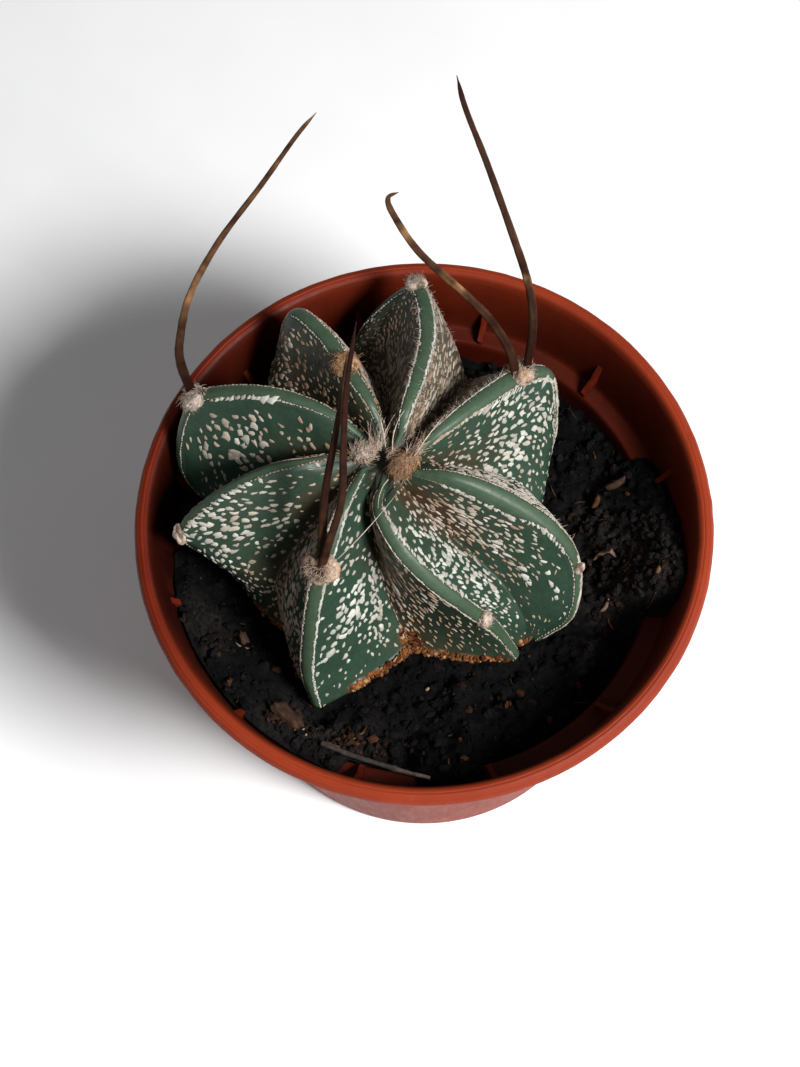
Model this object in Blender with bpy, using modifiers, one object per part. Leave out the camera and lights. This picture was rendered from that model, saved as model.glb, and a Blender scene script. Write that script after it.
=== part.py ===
"""A potted goats horn cactus: an eight-ribbed plant standing in soil in a round nursery pot.

Lengths are in metres and +Z is up. The origin is the middle of the pot's foot, on the surface that the
pot stands on. +Y is the back of the pot and +X its right side, seen from the front.
"""
import math

import bmesh
import bpy
import numpy as np
from mathutils import Matrix, Vector

MM = 0.001
FIT_GAP = 0.3 * MM

# Pot: a turned plastic shell with a wide collar above a ledge
POT_HEIGHT = 68.0 * MM
RIM_RADIUS = 45.0 * MM
FOOT_RADIUS = 32.3 * MM
WALL = 1.3 * MM
LIP_WIDTH = 2.8 * MM
LIP_DEPTH = 2.8 * MM
LEDGE_HEIGHT = 55.0 * MM
LEDGE_RADIUS = 37.2 * MM
COLLAR_FOOT_RADIUS = 40.1 * MM
COLLAR_TOP_RADIUS = RIM_RADIUS - LIP_WIDTH
FLOOR_TOP = 3.4 * MM
FLOOR_RECESS = 1.9 * MM
FOOT_RING_WIDTH = 3.2 * MM
POT_STEPS = 64
FIN_COUNT = 12
FIN_FIRST_BEARING = 14.0
FIN_RISE = 6.5 * MM
FIN_THICKNESS = 0.9 * MM
DRAIN_COUNT = 8
DRAIN_RADIUS = 3.0 * MM
DRAIN_CIRCLE = 19.0 * MM

# Soil: a filling with a plain hole for the plant's neck, level at the plant and banked up the wall
SOIL_LEVEL = 49.7 * MM
SOIL_SIDES = 96
SOIL_RINGS = 15
SOIL_REACH = 42.6 * MM
SOIL_SIDE_TOP = 44.0 * MM
BANK_END = 37.6

# Bank: bearing in degrees, then the soil's height at the wall and the radius where its rise starts, in
# millimetres. The heap on the right is the highest part, and ends at one of the pot's fins.
SOIL_BANK = (
    (-172.0, 57.8, 31.6), (-162.0, 58.6, 29.6), (-148.0, 58.3, 28.2), (-138.0, 58.0, 29.6),
    (-127.0, 57.6, 31.9), (-120.0, 57.0, 31.6), (-112.0, 56.2, 29.0), (-106.0, 53.6, 28.0),
    (-97.0, 53.2, 28.0), (-92.0, 56.0, 27.0), (-84.0, 56.6, 27.0), (-78.0, 56.0, 28.0),
    (-72.0, 50.6, 31.0), (-26.0, 50.4, 31.0), (-21.0, 51.5, 29.0), (-17.0, 62.5, 26.0),
    (-12.0, 64.0, 25.5), (-3.0, 61.5, 25.5), (9.0, 58.0, 26.0), (20.0, 56.5, 28.0),
    (27.0, 52.0, 31.0), (68.0, 51.6, 32.0), (83.0, 50.0, 32.0), (164.0, 50.2, 32.0),
    (174.0, 53.5, 32.0), (182.0, 56.6, 31.8),
)
BANK_CURVE = 1.2
LUMP_COUNT = 46
LUMP_SEED = 11
LUMP_SPREAD = 1.7 * MM
LUMP_HEIGHT = (0.5 * MM, 1.7 * MM)

# Neck of the plant, in its hole in the soil
NECK_PLACE = (-6.0 * MM, 4.0 * MM)
NECK_RADIUS = 8.0 * MM
NECK_TIP_RADIUS = 4.0 * MM
NECK_FOOT = 30.0 * MM
NECK_SINK = 3.0 * MM
FOOT_INSET = 0.95
PLANT_FOOT = SOIL_LEVEL + FIT_GAP
FOOT_BEVEL = 0.8 * MM

# Ribs, counter-clockwise from the one at the back right. Each has seven stations along its crest:
# crown, arch, middle, shoulder, tip, skirt and foot, in millimetres.
RIB_STATIONS = {
    "b": ((-0.6, 5.9, 80.5), (3.2, 8.9, 82.0), (9.0, 14.2, 80.5), (15.2, 20.2, 76.0),
          (20.9, 22.7, 71.0), (21.8, 17.2, 62.5), (18.8, 12.2, 51.0)),
    "a": ((-3.3, 8.4, 80.5), (-2.4, 11.6, 82.5), (-0.4, 18.0, 82.0), (1.3, 27.5, 78.5),
          (-0.6, 36.6, 75.5), (-8.6, 35.0, 66.0), (-11.0, 32.6, 51.0)),
    "h": ((-6.2, 9.8, 80.5), (-7.9, 13.6, 82.5), (-11.0, 19.0, 82.0), (-15.0, 26.4, 80.0),
          (-20.0, 32.2, 76.0), (-22.2, 30.6, 62.5), (-20.4, 27.8, 51.0)),
    "g": ((-9.4, 8.6, 80.5), (-13.5, 11.4, 82.5), (-20.5, 14.6, 82.5), (-28.0, 16.4, 81.0),
          (-35.6, 16.2, 77.0), (-38.5, 10.8, 64.5), (-33.0, 8.2, 51.0)),
    "f": ((-11.8, 5.6, 80.0), (-18.3, 3.6, 82.0), (-25.0, 2.2, 81.0), (-32.3, -0.6, 77.5),
          (-37.3, -3.2, 71.5), (-33.2, -2.6, 61.0), (-29.5, -3.8, 51.0)),
    "e": ((-9.0, 3.6, 79.4), (-12.0, -3.4, 82.0), (-14.2, -8.6, 80.0), (-16.5, -13.8, 75.0),
          (-18.0, -18.6, 67.5), (-18.8, -22.3, 58.5), (-17.8, -25.0, 51.0)),
    "d": ((-6.3, 0.7, 79.5), (-7.0, -4.2, 81.5), (-3.8, -10.0, 80.0), (1.0, -13.6, 75.5),
          (6.5, -15.6, 69.0), (11.3, -16.0, 60.0), (14.8, -17.2, 51.0)),
    "c": ((-1.2, 2.4, 80.5), (4.6, 0.8, 82.0), (12.0, -1.2, 79.0), (19.3, -4.2, 73.5),
          (23.4, -8.0, 67.0), (23.0, -13.4, 58.5), (18.0, -15.0, 51.0)),
}
CROWN = (-5.6 * MM, 5.2 * MM, 77.5 * MM)

# Furrows: share of the way from the crown out to the line that joins the two crests, per station
FURROW_SHARE = (0.74, 0.66, 0.66, 0.72, 0.78, 0.84, 0.88)
FURROW_SHARE_AT = {
    "b": (0.74, 0.66, 0.68, 0.78, 0.84, 0.86, 0.88),
    "e": (0.74, 0.66, 0.64, 0.70, 0.72, 0.75, 0.80),
    "d": (0.74, 0.64, 0.64, 0.74, 0.85, 0.93, 0.96),
    "f": (0.74, 0.66, 0.66, 0.72, 0.79, 0.86, 0.90),
}
FURROW_HEIGHTS = (79.0, 77.0, 73.0, 68.0, 62.5, 56.5, 51.0)

CREST_HALF_WIDTH = (0.62, 1.1, 1.45, 1.5, 1.45, 1.3, 1.1)
CREST_LIFT = 0.62
FLANK_BULGE = 0.035
CROWN_UPRIGHT = 0.1
CREST_ANGLES = (-90.0, -45.0, 0.0, 45.0, 90.0)
FLANK_SHARES = (0.34, 0.7)
ROWS_PER_STATION = 3

# Areoles: rib, station number, and the wool pad's half sizes along, across and out from the crest
WOOL_PADS = {
    "b": ("b", 3.05, (2.5, 2.3, 1.9)),
    "e": ("e", 2.55, (2.9, 3.3, 1.9)),
    "g": ("g", 3.85, (2.6, 2.2, 1.7)),
    "h": ("h", 2.1, (2.3, 2.4, 1.5)),
    "d": ("d", 4.45, (1.5, 1.6, 1.2)),
    "c": ("c", 4.1, (1.7, 1.5, 0.9)),
    "a": ("a", 3.95, (2.2, 1.7, 1.3)),
    "f": ("f", 4.0, (2.6, 1.8, 0.9)),
}
PAD_SEGMENTS = 14
PAD_RINGS = 8
CROWN_TUFTS = {
    "left": ((-9.0, 5.6, 80.6), (2.3, 1.8, 2.0)),
    "right": ((-2.9, 3.7, 80.8), (2.6, 2.0, 2.2)),
}

# Spines: station points in millimetres from the foot in the wool to the tip
SPINES = {
    "left": ((-35.0, 17.0, 78.4), (-36.1, 19.2, 85.0), (-35.6, 20.8, 90.0), (-33.4, 23.4, 98.0),
             (-28.4, 26.3, 108.0), (-21.6, 29.8, 117.5), (-16.5, 33.2, 124.0), (-13.6, 35.2, 126.6)),
    "hooked": ((14.6, 20.2, 76.9), (13.6, 21.9, 81.0), (10.5, 24.1, 87.0), (6.5, 25.5, 93.0),
               (0.0, 26.8, 103.0), (-3.6, 28.7, 110.5), (-4.3, 29.8, 113.2), (-2.8, 30.6, 113.4)),
    "tall": ((16.3, 20.8, 76.0), (17.0, 23.0, 83.0), (16.8, 25.0, 89.0), (15.7, 26.9, 95.0),
             (13.5, 29.1, 103.0), (9.5, 32.8, 116.5), (6.4, 36.0, 125.5), (5.2, 38.2, 130.0)),
    "front_left": ((-15.4, -10.2, 79.2), (-14.9, -7.2, 85.0), (-14.3, -4.2, 90.0),
                   (-12.5, 0.8, 98.0), (-11.2, 4.4, 104.5), (-10.2, 7.6, 111.0)),
    "front_right": ((-15.7, -12.3, 78.0), (-14.2, -9.9, 83.0), (-12.0, -5.8, 90.0),
                    (-11.4, -0.9, 98.0), (-10.6, 4.0, 107.0), (-8.9, 8.8, 117.0)),
}
SPINE_PAD = {"left": "g", "hooked": "b", "tall": "b", "front_left": "e", "front_right": "e"}
SPINE_FOOT_WIDTH = 1.5 * MM
SPINE_TIP_WIDTH = 0.62 * MM
SPINE_FLATNESS = 0.62
SPINE_LEAST_THICKNESS = 0.6 * MM
SPINE_SIDES = 8
SPINE_ROWS_PER_STATION = 2

# Litter on the soil
TWIG_POINTS = ((-16.6, -32.6, 56.9), (-13.0, -34.2, 56.9), (-9.5, -35.5, 56.9),
               (-5.8, -36.8, 57.0), (-2.8, -37.8, 57.1), (0.0, -38.6, 57.3))
TWIG_RADIUS = 0.6 * MM
BARK_CHIPS = {
    "bark_chip_large": ((-22.8, -28.6), (2.9, 1.5, 0.9), -46.0),
    "bark_chip_small": ((-29.5, -14.6), (1.2, 0.7, 0.5), -65.0),
}
CHIP_LIFT = 1.5 * FIT_GAP


def make_collection(name):
    """A collection linked to the scene."""
    collection = bpy.data.collections.new(name)
    bpy.context.scene.collection.children.link(collection)
    return collection


def make_material(name, color, roughness, metallic=0.0):
    """A Principled material with one colour."""
    material = bpy.data.materials.new(name)
    material.use_nodes = True
    shader = material.node_tree.nodes["Principled BSDF"]
    shader.inputs["Base Color"].default_value = (*color, 1.0)
    shader.inputs["Roughness"].default_value = roughness
    shader.inputs["Metallic"].default_value = metallic
    return material


def add_object(name, mesh, collection, material=None):
    """An object for a mesh, shaded smooth except at its sharp edges."""
    thing = bpy.data.objects.new(name, mesh)
    collection.objects.link(thing)
    if material is not None:
        mesh.materials.append(material)
    mesh.shade_smooth()
    mesh.set_sharp_from_angle(angle=math.radians(40.0))
    return thing


def mark_as_cutter(thing):
    """Show a cutter as wire and keep it out of renders."""
    thing.hide_render = True
    thing.display_type = "WIRE"


def add_boolean(thing, operand, operation, folded=False):
    """A Boolean modifier on thing; folded says that the operand may pass through itself."""
    modifier = thing.modifiers.new(operation.title(), "BOOLEAN")
    modifier.operation = operation
    modifier.object = operand
    modifier.solver = "EXACT"
    modifier.use_self = folded


def skin(name, rows, start=None, end=None):
    """A closed mesh over rows of points: quads between rows, and a fan or a flat face at each end."""
    form = bmesh.new()
    grid = [[form.verts.new(point) for point in row] for row in rows]
    count = len(grid[0])
    for upper, lower in zip(grid, grid[1:]):
        for i in range(count):
            j = (i + 1) % count
            form.faces.new((upper[i], lower[i], lower[j], upper[j]))
    for ring, centre in ((grid[0], start), (grid[-1], end)):
        if centre is None:
            form.faces.new(ring)
            continue
        middle = form.verts.new(centre)
        for i in range(count):
            form.faces.new((ring[i], ring[(i + 1) % count], middle))
    bmesh.ops.recalc_face_normals(form, faces=form.faces)
    mesh = bpy.data.meshes.new(name)
    form.to_mesh(mesh)
    form.free()
    return mesh


def curve_through(stations, places):
    """Points and unit tangents of a Catmull-Rom curve through the stations, at fractional places."""
    stations = np.asarray(stations, float)
    before = 2 * stations[0] - stations[1]
    after = 2 * stations[-1] - stations[-2]
    padded = np.vstack([before, stations, after])
    first = np.clip(np.floor(places).astype(int), 0, len(stations) - 2)
    t = (places - first)[:, None]
    p0, p1, p2, p3 = (padded[first + k] for k in range(4))
    slope = (p2 - p0) / 2
    bend = p0 - 2.5 * p1 + 2 * p2 - p3 / 2
    twist = (3 * (p1 - p2) + p3 - p0) / 2
    points = p1 + slope * t + bend * t**2 + twist * t**3
    tangents = slope + 2 * bend * t + 3 * twist * t**2
    return points, tangents / np.linalg.norm(tangents, axis=1, keepdims=True)


def unit(vectors):
    """The vectors at length one."""
    return vectors / np.linalg.norm(vectors, axis=-1, keepdims=True)


def furrow_stations(rib, next_rib):
    """Stations of the furrow between two ribs, drawn in from their crests towards the crown."""
    share = np.array(FURROW_SHARE_AT.get(rib, FURROW_SHARE))[:, None]
    crown = np.array(CROWN[:2]) / MM
    between = (np.array(RIB_STATIONS[rib]) + np.array(RIB_STATIONS[next_rib]))[:, :2] / 2
    flat = crown + (between - crown) * share
    return np.column_stack([flat, FURROW_HEIGHTS]) * MM


def crest_frames(rib, places):
    """Crest points of a rib, with the directions along it, out of it and to its left seen from outside.

    At the crown the crests face straight up.
    """
    names = list(RIB_STATIONS)
    at = names.index(rib)
    crest, along = curve_through(np.array(RIB_STATIONS[rib]) * MM, places)
    left, _ = curve_through(furrow_stations(rib, names[(at + 1) % len(names)]), places)
    right, _ = curve_through(furrow_stations(names[at - 1], rib), places)
    inward = (left + right) / 2 - crest
    inward[:, :2] *= np.clip(CROWN_UPRIGHT + places, 0.0, 1.0)[:, None]
    inward -= (inward * along).sum(axis=1, keepdims=True) * along
    out = unit(-inward)
    return crest, along, out, np.cross(out, along)


def crest_section(rib, places):
    """Rows of points across the rounded crest of a rib, from its clockwise edge to the other."""
    crest, along, out, side = crest_frames(rib, places)
    half = np.interp(places, range(len(CREST_HALF_WIDTH)), CREST_HALF_WIDTH)[:, None] * MM
    points = []
    for angle in np.radians(CREST_ANGLES):
        sink = CREST_LIFT * half * (1 - math.cos(angle))
        points.append(crest + half * math.sin(angle) * side - sink * out)
    return points, along, side


def flank_section(edge, furrow, along, side):
    """Points between a crest's edge and the furrow, bulged out a little in the middle."""
    across = furrow - edge
    breadth = np.linalg.norm(across, axis=1, keepdims=True)
    out = unit(np.cross(across, along))
    out *= np.sign((out * side).sum(axis=1, keepdims=True))
    points = []
    for share in FLANK_SHARES:
        swell = FLANK_BULGE * breadth * 4 * share * (1 - share)
        points.append(edge + share * across + swell * out)
    return points


def plant_rows():
    """Rows round the ribbed body, from the crown to the foot, each a closed star of points."""
    names = list(RIB_STATIONS)
    last = len(FURROW_SHARE) - 1
    places = np.linspace(0, last, last * ROWS_PER_STATION + 1)
    sections = {rib: crest_section(rib, places) for rib in names}
    columns = []
    for rib, next_rib in zip(names, names[1:] + names[:1]):
        crest, along, side = sections[rib]
        next_crest, next_along, next_side = sections[next_rib]
        furrow, _ = curve_through(furrow_stations(rib, next_rib), places)
        columns += crest
        columns += flank_section(crest[-1], furrow, along, side)
        columns.append(furrow)
        columns += flank_section(next_crest[0], furrow, next_along, -next_side)[::-1]
    rows = np.stack(columns, axis=1)
    rows[-1, :, 2] = PLANT_FOOT + FOOT_BEVEL
    return rows


def ring(centre, radius, height, bearings):
    """A level circle of points."""
    x = centre[0] + radius * np.cos(bearings)
    y = centre[1] + radius * np.sin(bearings)
    return np.column_stack([x, y, np.full_like(bearings, height)])


def foot_outline():
    """The plant's lowest outline as bearings and distances from the neck."""
    flat = plant_rows()[-1, :, :2] - np.array(NECK_PLACE)
    return np.arctan2(flat[:, 1], flat[:, 0]), np.hypot(flat[:, 0], flat[:, 1])


def make_plant(collection, cutters, material):
    """The ribbed body: sunken crown, eight ribs, a flat foot, and a neck that tapers into the soil."""
    rows = list(plant_rows())
    neck = np.array(NECK_PLACE)
    under = rows[-1].copy()
    under[:, :2] = neck + (under[:, :2] - neck) * FOOT_INSET
    under[:, 2] = PLANT_FOOT
    rows.append(under)
    mesh = skin("cactus_body", rows, start=CROWN)
    plant = add_object("cactus_body", mesh, collection, material)
    add_boolean(plant, make_neck(cutters), "UNION")
    return plant


def make_neck(collection):
    """The tapered neck below the ribs, to be joined to them."""
    form = bmesh.new()
    top = PLANT_FOOT + NECK_SINK
    place = Matrix.Translation((*NECK_PLACE, (top + NECK_FOOT) / 2))
    bmesh.ops.create_cone(form, cap_ends=True, segments=24, radius1=NECK_TIP_RADIUS, radius2=NECK_RADIUS,
                          depth=top - NECK_FOOT, matrix=place)
    mesh = bpy.data.meshes.new("plant_neck")
    form.to_mesh(mesh)
    form.free()
    thing = add_object("plant_neck", mesh, collection)
    mark_as_cutter(thing)
    return thing


def pot_profile():
    """Radius and height pairs of the pot's wall, from the floor's middle over the lip to the foot."""
    lip_middle = RIM_RADIUS - LIP_WIDTH / 2
    lip_round = 0.5 * MM
    return (
        (0.0, FLOOR_TOP),
        (FOOT_RADIUS - WALL, FLOOR_TOP),
        (FOOT_RADIUS - WALL + 0.9 * MM, FLOOR_TOP + 1.2 * MM),
        (LEDGE_RADIUS - 0.3 * MM, LEDGE_HEIGHT - 1.0 * MM),
        (LEDGE_RADIUS, LEDGE_HEIGHT),
        (COLLAR_FOOT_RADIUS - 0.4 * MM, LEDGE_HEIGHT + 0.1 * MM),
        (COLLAR_FOOT_RADIUS, LEDGE_HEIGHT + 0.8 * MM),
        (COLLAR_TOP_RADIUS, POT_HEIGHT - 1.2 * MM),
        (COLLAR_TOP_RADIUS + lip_round, POT_HEIGHT - 0.3 * MM),
        (lip_middle, POT_HEIGHT),
        (RIM_RADIUS - lip_round, POT_HEIGHT - 0.3 * MM),
        (RIM_RADIUS, POT_HEIGHT - 1.2 * MM),
        (RIM_RADIUS, POT_HEIGHT - LIP_DEPTH + 0.8 * MM),
        (RIM_RADIUS - 0.6 * MM, POT_HEIGHT - LIP_DEPTH),
        (COLLAR_TOP_RADIUS + WALL, POT_HEIGHT - LIP_DEPTH - 0.3 * MM),
        (COLLAR_FOOT_RADIUS + WALL, LEDGE_HEIGHT),
        (COLLAR_FOOT_RADIUS + WALL - 0.5 * MM, LEDGE_HEIGHT - WALL),
        (LEDGE_RADIUS + WALL, LEDGE_HEIGHT - WALL - 0.8 * MM),
        (FOOT_RADIUS + 0.4 * MM, 1.0 * MM),
        (FOOT_RADIUS - 0.3 * MM, 0.0),
        (FOOT_RADIUS - FOOT_RING_WIDTH, 0.0),
        (FOOT_RADIUS - FOOT_RING_WIDTH - 0.6 * MM, FLOOR_RECESS),
        (0.0, FLOOR_RECESS),
    )


def inner_radius(height):
    """Radius of the pot's inner wall below the ledge, at a height."""
    foot = (FOOT_RADIUS - WALL + 0.9 * MM, FLOOR_TOP + 1.2 * MM)
    top = (LEDGE_RADIUS - 0.3 * MM, LEDGE_HEIGHT - 1.0 * MM)
    share = (height - foot[1]) / (top[1] - foot[1])
    return foot[0] + (top[0] - foot[0]) * share


def make_fins(name, collection, grow=0.0):
    """Small upright three-cornered fins on the ledge, against the collar, as one operand."""
    form = bmesh.new()
    inner = LEDGE_RADIUS + 0.2 * MM - grow
    outer = COLLAR_FOOT_RADIUS + 0.6 * MM + grow
    half = FIN_THICKNESS / 2 + grow
    corners = (
        (inner, LEDGE_HEIGHT - 0.4 * MM),
        (outer, LEDGE_HEIGHT - 0.4 * MM),
        (outer + 0.9 * MM, LEDGE_HEIGHT + FIN_RISE + grow),
        (inner, LEDGE_HEIGHT + 1.0 * MM + grow),
    )
    for k in range(FIN_COUNT):
        turn = Matrix.Rotation(math.radians(FIN_FIRST_BEARING + 360.0 * k / FIN_COUNT), 3, "Z")
        front = [form.verts.new(turn @ Vector((r, -half, z))) for r, z in corners]
        back = [form.verts.new(turn @ Vector((r, half, z))) for r, z in corners]
        form.faces.new(front)
        form.faces.new(back[::-1])
        for i in range(len(corners)):
            j = (i + 1) % len(corners)
            form.faces.new((front[j], front[i], back[i], back[j]))
    bmesh.ops.recalc_face_normals(form, faces=form.faces)
    mesh = bpy.data.meshes.new(name)
    form.to_mesh(mesh)
    form.free()
    thing = add_object(name, mesh, collection)
    mark_as_cutter(thing)
    return thing


def make_drains(collection):
    """Cutter for the ring of drainage holes in the pot's floor."""
    form = bmesh.new()
    for k in range(DRAIN_COUNT):
        bearing = 2 * math.pi * k / DRAIN_COUNT
        place = (DRAIN_CIRCLE * math.cos(bearing), DRAIN_CIRCLE * math.sin(bearing),
                 (FLOOR_TOP + FLOOR_RECESS) / 2)
        bmesh.ops.create_cone(form, cap_ends=True, segments=16, radius1=DRAIN_RADIUS,
                              radius2=DRAIN_RADIUS, depth=4 * MM, matrix=Matrix.Translation(place))
    mesh = bpy.data.meshes.new("pot_drains")
    form.to_mesh(mesh)
    form.free()
    thing = add_object("pot_drains", mesh, collection)
    mark_as_cutter(thing)
    return thing


def make_pot(collection, cutters, material):
    """The pot: its wall turned round the axis, with the fins joined on and the drains cut."""
    form = bmesh.new()
    points = [form.verts.new((radius, 0.0, height)) for radius, height in pot_profile()]
    for start, end in zip(points, points[1:]):
        form.edges.new((start, end))
    mesh = bpy.data.meshes.new("pot")
    form.to_mesh(mesh)
    form.free()
    mesh.materials.append(material)
    pot = bpy.data.objects.new("pot", mesh)
    collection.objects.link(pot)
    screw = pot.modifiers.new("Turn", "SCREW")
    screw.steps = POT_STEPS
    screw.render_steps = POT_STEPS
    screw.use_merge_vertices = True
    screw.merge_threshold = 0.00001
    screw.use_smooth_shade = True
    add_boolean(pot, make_fins("pot_fins", cutters), "UNION")
    add_boolean(pot, make_drains(cutters), "DIFFERENCE")
    return pot


def soil_lumps():
    """Places, spreads and heights of the seeded lumps on the soil, clear of the plant and the litter."""
    draw = np.random.default_rng(LUMP_SEED)
    bearings, reaches = foot_outline()
    order = np.argsort(bearings)
    litter = [np.array(point[:2]) * MM for point in TWIG_POINTS]
    litter += [np.array(place) * MM for place, _, _ in BARK_CHIPS.values()]
    found = []
    while len(found) < LUMP_COUNT:
        radius = (LEDGE_RADIUS - 3.5 * MM) * math.sqrt(draw.uniform(0.0, 1.0))
        bearing = draw.uniform(-math.pi, math.pi)
        spread = LUMP_SPREAD * draw.uniform(0.7, 1.25)
        height = draw.uniform(*LUMP_HEIGHT)
        place = np.array((radius * math.cos(bearing), radius * math.sin(bearing)))
        from_neck = place - np.array(NECK_PLACE)
        foot = np.interp(math.atan2(from_neck[1], from_neck[0]), bearings[order], reaches[order],
                         period=2 * math.pi)
        clear_of_plant = np.hypot(*from_neck) - foot > 2.6 * spread
        clear_of_litter = all(np.hypot(*(place - other)) > 3.9 * spread for other in litter)
        if clear_of_plant and clear_of_litter:
            found.append((place, spread, height))
    return found


def soil_height(x, y, lumps=()):
    """Height of the soil: level, rising towards the wall along the bank, with a rise at each lump."""
    stations, tops, starts = np.array(SOIL_BANK).T
    bearings = np.degrees(np.arctan2(y, x))
    top = np.interp(bearings, stations, tops, period=360.0) * MM
    start = np.interp(bearings, stations, starts, period=360.0)
    share = np.clip((np.hypot(x, y) / MM - start) / (BANK_END - start), 0.0, 1.0)
    height = SOIL_LEVEL + (top - SOIL_LEVEL) * share**BANK_CURVE
    for place, spread, rise in lumps:
        away = ((x - place[0])**2 + (y - place[1])**2) / spread**2
        height = height + rise * np.exp(-away / 2)
    return height


def make_soil(collection, cutters, material):
    """The filling: a lumpy top and the plain hole for the neck, cut to the pot's wall, ledge and fins."""
    bearings = np.linspace(0, 2 * math.pi, SOIL_SIDES, endpoint=False)
    hole_radius = NECK_RADIUS + FIT_GAP
    hole_foot = NECK_FOOT - FIT_GAP
    lumps = soil_lumps()
    rows = [ring(NECK_PLACE, NECK_TIP_RADIUS + 2 * FIT_GAP, hole_foot, bearings)]
    inner = ring(NECK_PLACE, hole_radius, SOIL_LEVEL, bearings)
    outer = ring((0.0, 0.0), SOIL_REACH, SOIL_LEVEL, bearings)
    for share in np.linspace(0, 1, SOIL_RINGS)**0.85:
        row = inner + (outer - inner) * share
        row[:, 2] = soil_height(row[:, 0], row[:, 1], lumps)
        rows.append(row)
    floor = FLOOR_TOP + FIT_GAP
    shoulder = FLOOR_TOP + 1.2 * MM + FIT_GAP
    for radius, height in (
        (SOIL_REACH, SOIL_SIDE_TOP + 2 * MM),
        (inner_radius(SOIL_SIDE_TOP) - 2 * FIT_GAP, SOIL_SIDE_TOP),
        (inner_radius(shoulder) - 2 * FIT_GAP, shoulder),
        (FOOT_RADIUS - WALL - 2 * FIT_GAP, floor),
    ):
        rows.append(ring((0.0, 0.0), radius, height, bearings))
    mesh = skin("soil", rows, start=(*NECK_PLACE, hole_foot), end=(0.0, 0.0, floor))
    soil = add_object("soil", mesh, collection, material)
    add_boolean(soil, make_pot_liner(cutters), "DIFFERENCE")
    add_boolean(soil, make_fins("fin_slots", cutters, 1.5 * FIT_GAP), "DIFFERENCE")
    return soil


def make_pot_liner(collection):
    """Cutter that trims the soil a gap inside the pot's wall, ledge and collar."""
    form = bmesh.new()
    far = RIM_RADIUS + 3 * MM
    low = SOIL_SIDE_TOP - 8 * MM
    outline = (
        (inner_radius(low) - FIT_GAP, low),
        (LEDGE_RADIUS - 2 * FIT_GAP, LEDGE_HEIGHT - 1.0 * MM),
        (LEDGE_RADIUS - 2 * FIT_GAP, LEDGE_HEIGHT + 1.5 * FIT_GAP),
        (COLLAR_FOOT_RADIUS - 1.5 * FIT_GAP, LEDGE_HEIGHT + 1.5 * FIT_GAP),
        (COLLAR_TOP_RADIUS - FIT_GAP, POT_HEIGHT - 1.0 * MM),
        (far, POT_HEIGHT - 1.0 * MM),
        (far, low),
    )
    points = [form.verts.new((radius, 0.0, height)) for radius, height in outline]
    edges = [form.edges.new((points[i - 1], points[i])) for i in range(len(points))]
    bmesh.ops.spin(form, geom=points + edges, cent=(0, 0, 0), axis=(0, 0, 1), angle=2 * math.pi,
                   steps=POT_STEPS, use_merge=True)
    bmesh.ops.recalc_face_normals(form, faces=form.faces)
    mesh = bpy.data.meshes.new("pot_liner")
    form.to_mesh(mesh)
    form.free()
    thing = add_object("pot_liner", mesh, collection)
    mark_as_cutter(thing)
    return thing


def spine_rows(stations, grow=0.0):
    """Flattened rings of points along a spine, narrowing from its foot to its tip."""
    count = len(stations)
    places = np.linspace(0, count - 1, (count - 1) * SPINE_ROWS_PER_STATION + 1)
    points, along = curve_through(np.array(stations) * MM, places)
    side = unit(np.cross(along, np.array((0.35, -1.0, 0.0))))
    face = np.cross(side, along)
    share = (places / places[-1])[:, None]
    width = SPINE_FOOT_WIDTH + (SPINE_TIP_WIDTH - SPINE_FOOT_WIDTH) * share**1.3
    thickness = np.maximum(width * SPINE_FLATNESS, SPINE_LEAST_THICKNESS)
    angles = np.linspace(0, 2 * math.pi, SPINE_SIDES, endpoint=False)
    rings = [points + (width / 2 + grow) * math.cos(a) * side + (thickness / 2 + grow) * math.sin(a) * face
             for a in angles]
    return np.stack(rings, axis=1)


def make_spine(name, stations, collection, material):
    """One spine, from its foot in the wool to its tip."""
    rows = spine_rows(stations)
    mesh = skin(name, rows)
    return add_object(name, mesh, collection, material)


def make_spine_socket(name, stations, collection):
    """Cutter a gap wider than a spine, which opens the plain hole that the spine stands in."""
    rows = spine_rows(stations[:3], FIT_GAP)
    start = rows[0] - (rows[1] - rows[0])
    mesh = skin(name, [start, *rows])
    thing = add_object(name, mesh, collection)
    mark_as_cutter(thing)
    return thing


def make_grown_plant(plant, collection):
    """A copy of the ribbed body grown by the fit gap, which cuts the seats of the wool pads."""
    thing = bpy.data.objects.new("plant_seat", plant.data.copy())
    collection.objects.link(thing)
    grow = thing.modifiers.new("Grow", "DISPLACE")
    grow.strength = 1.3 * FIT_GAP
    grow.mid_level = 0.0
    mark_as_cutter(thing)
    return thing


def make_pad(name, place, turn, half_sizes, seat, sockets, collection, material):
    """A woolly pad: a flattened ball cut to sit on the plant, with plain holes for its spines."""
    form = bmesh.new()
    bmesh.ops.create_uvsphere(form, u_segments=PAD_SEGMENTS, v_segments=PAD_RINGS, radius=1.0,
                              matrix=Matrix.Diagonal((*[half * MM for half in half_sizes], 1.0)))
    mesh = bpy.data.meshes.new(name)
    form.to_mesh(mesh)
    form.free()
    pad = add_object(name, mesh, collection, material)
    pad.matrix_world = Matrix.Translation(place) @ turn.to_4x4()
    add_boolean(pad, seat, "DIFFERENCE", folded=True)
    for socket in sockets:
        add_boolean(pad, socket, "DIFFERENCE")
    return pad


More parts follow.
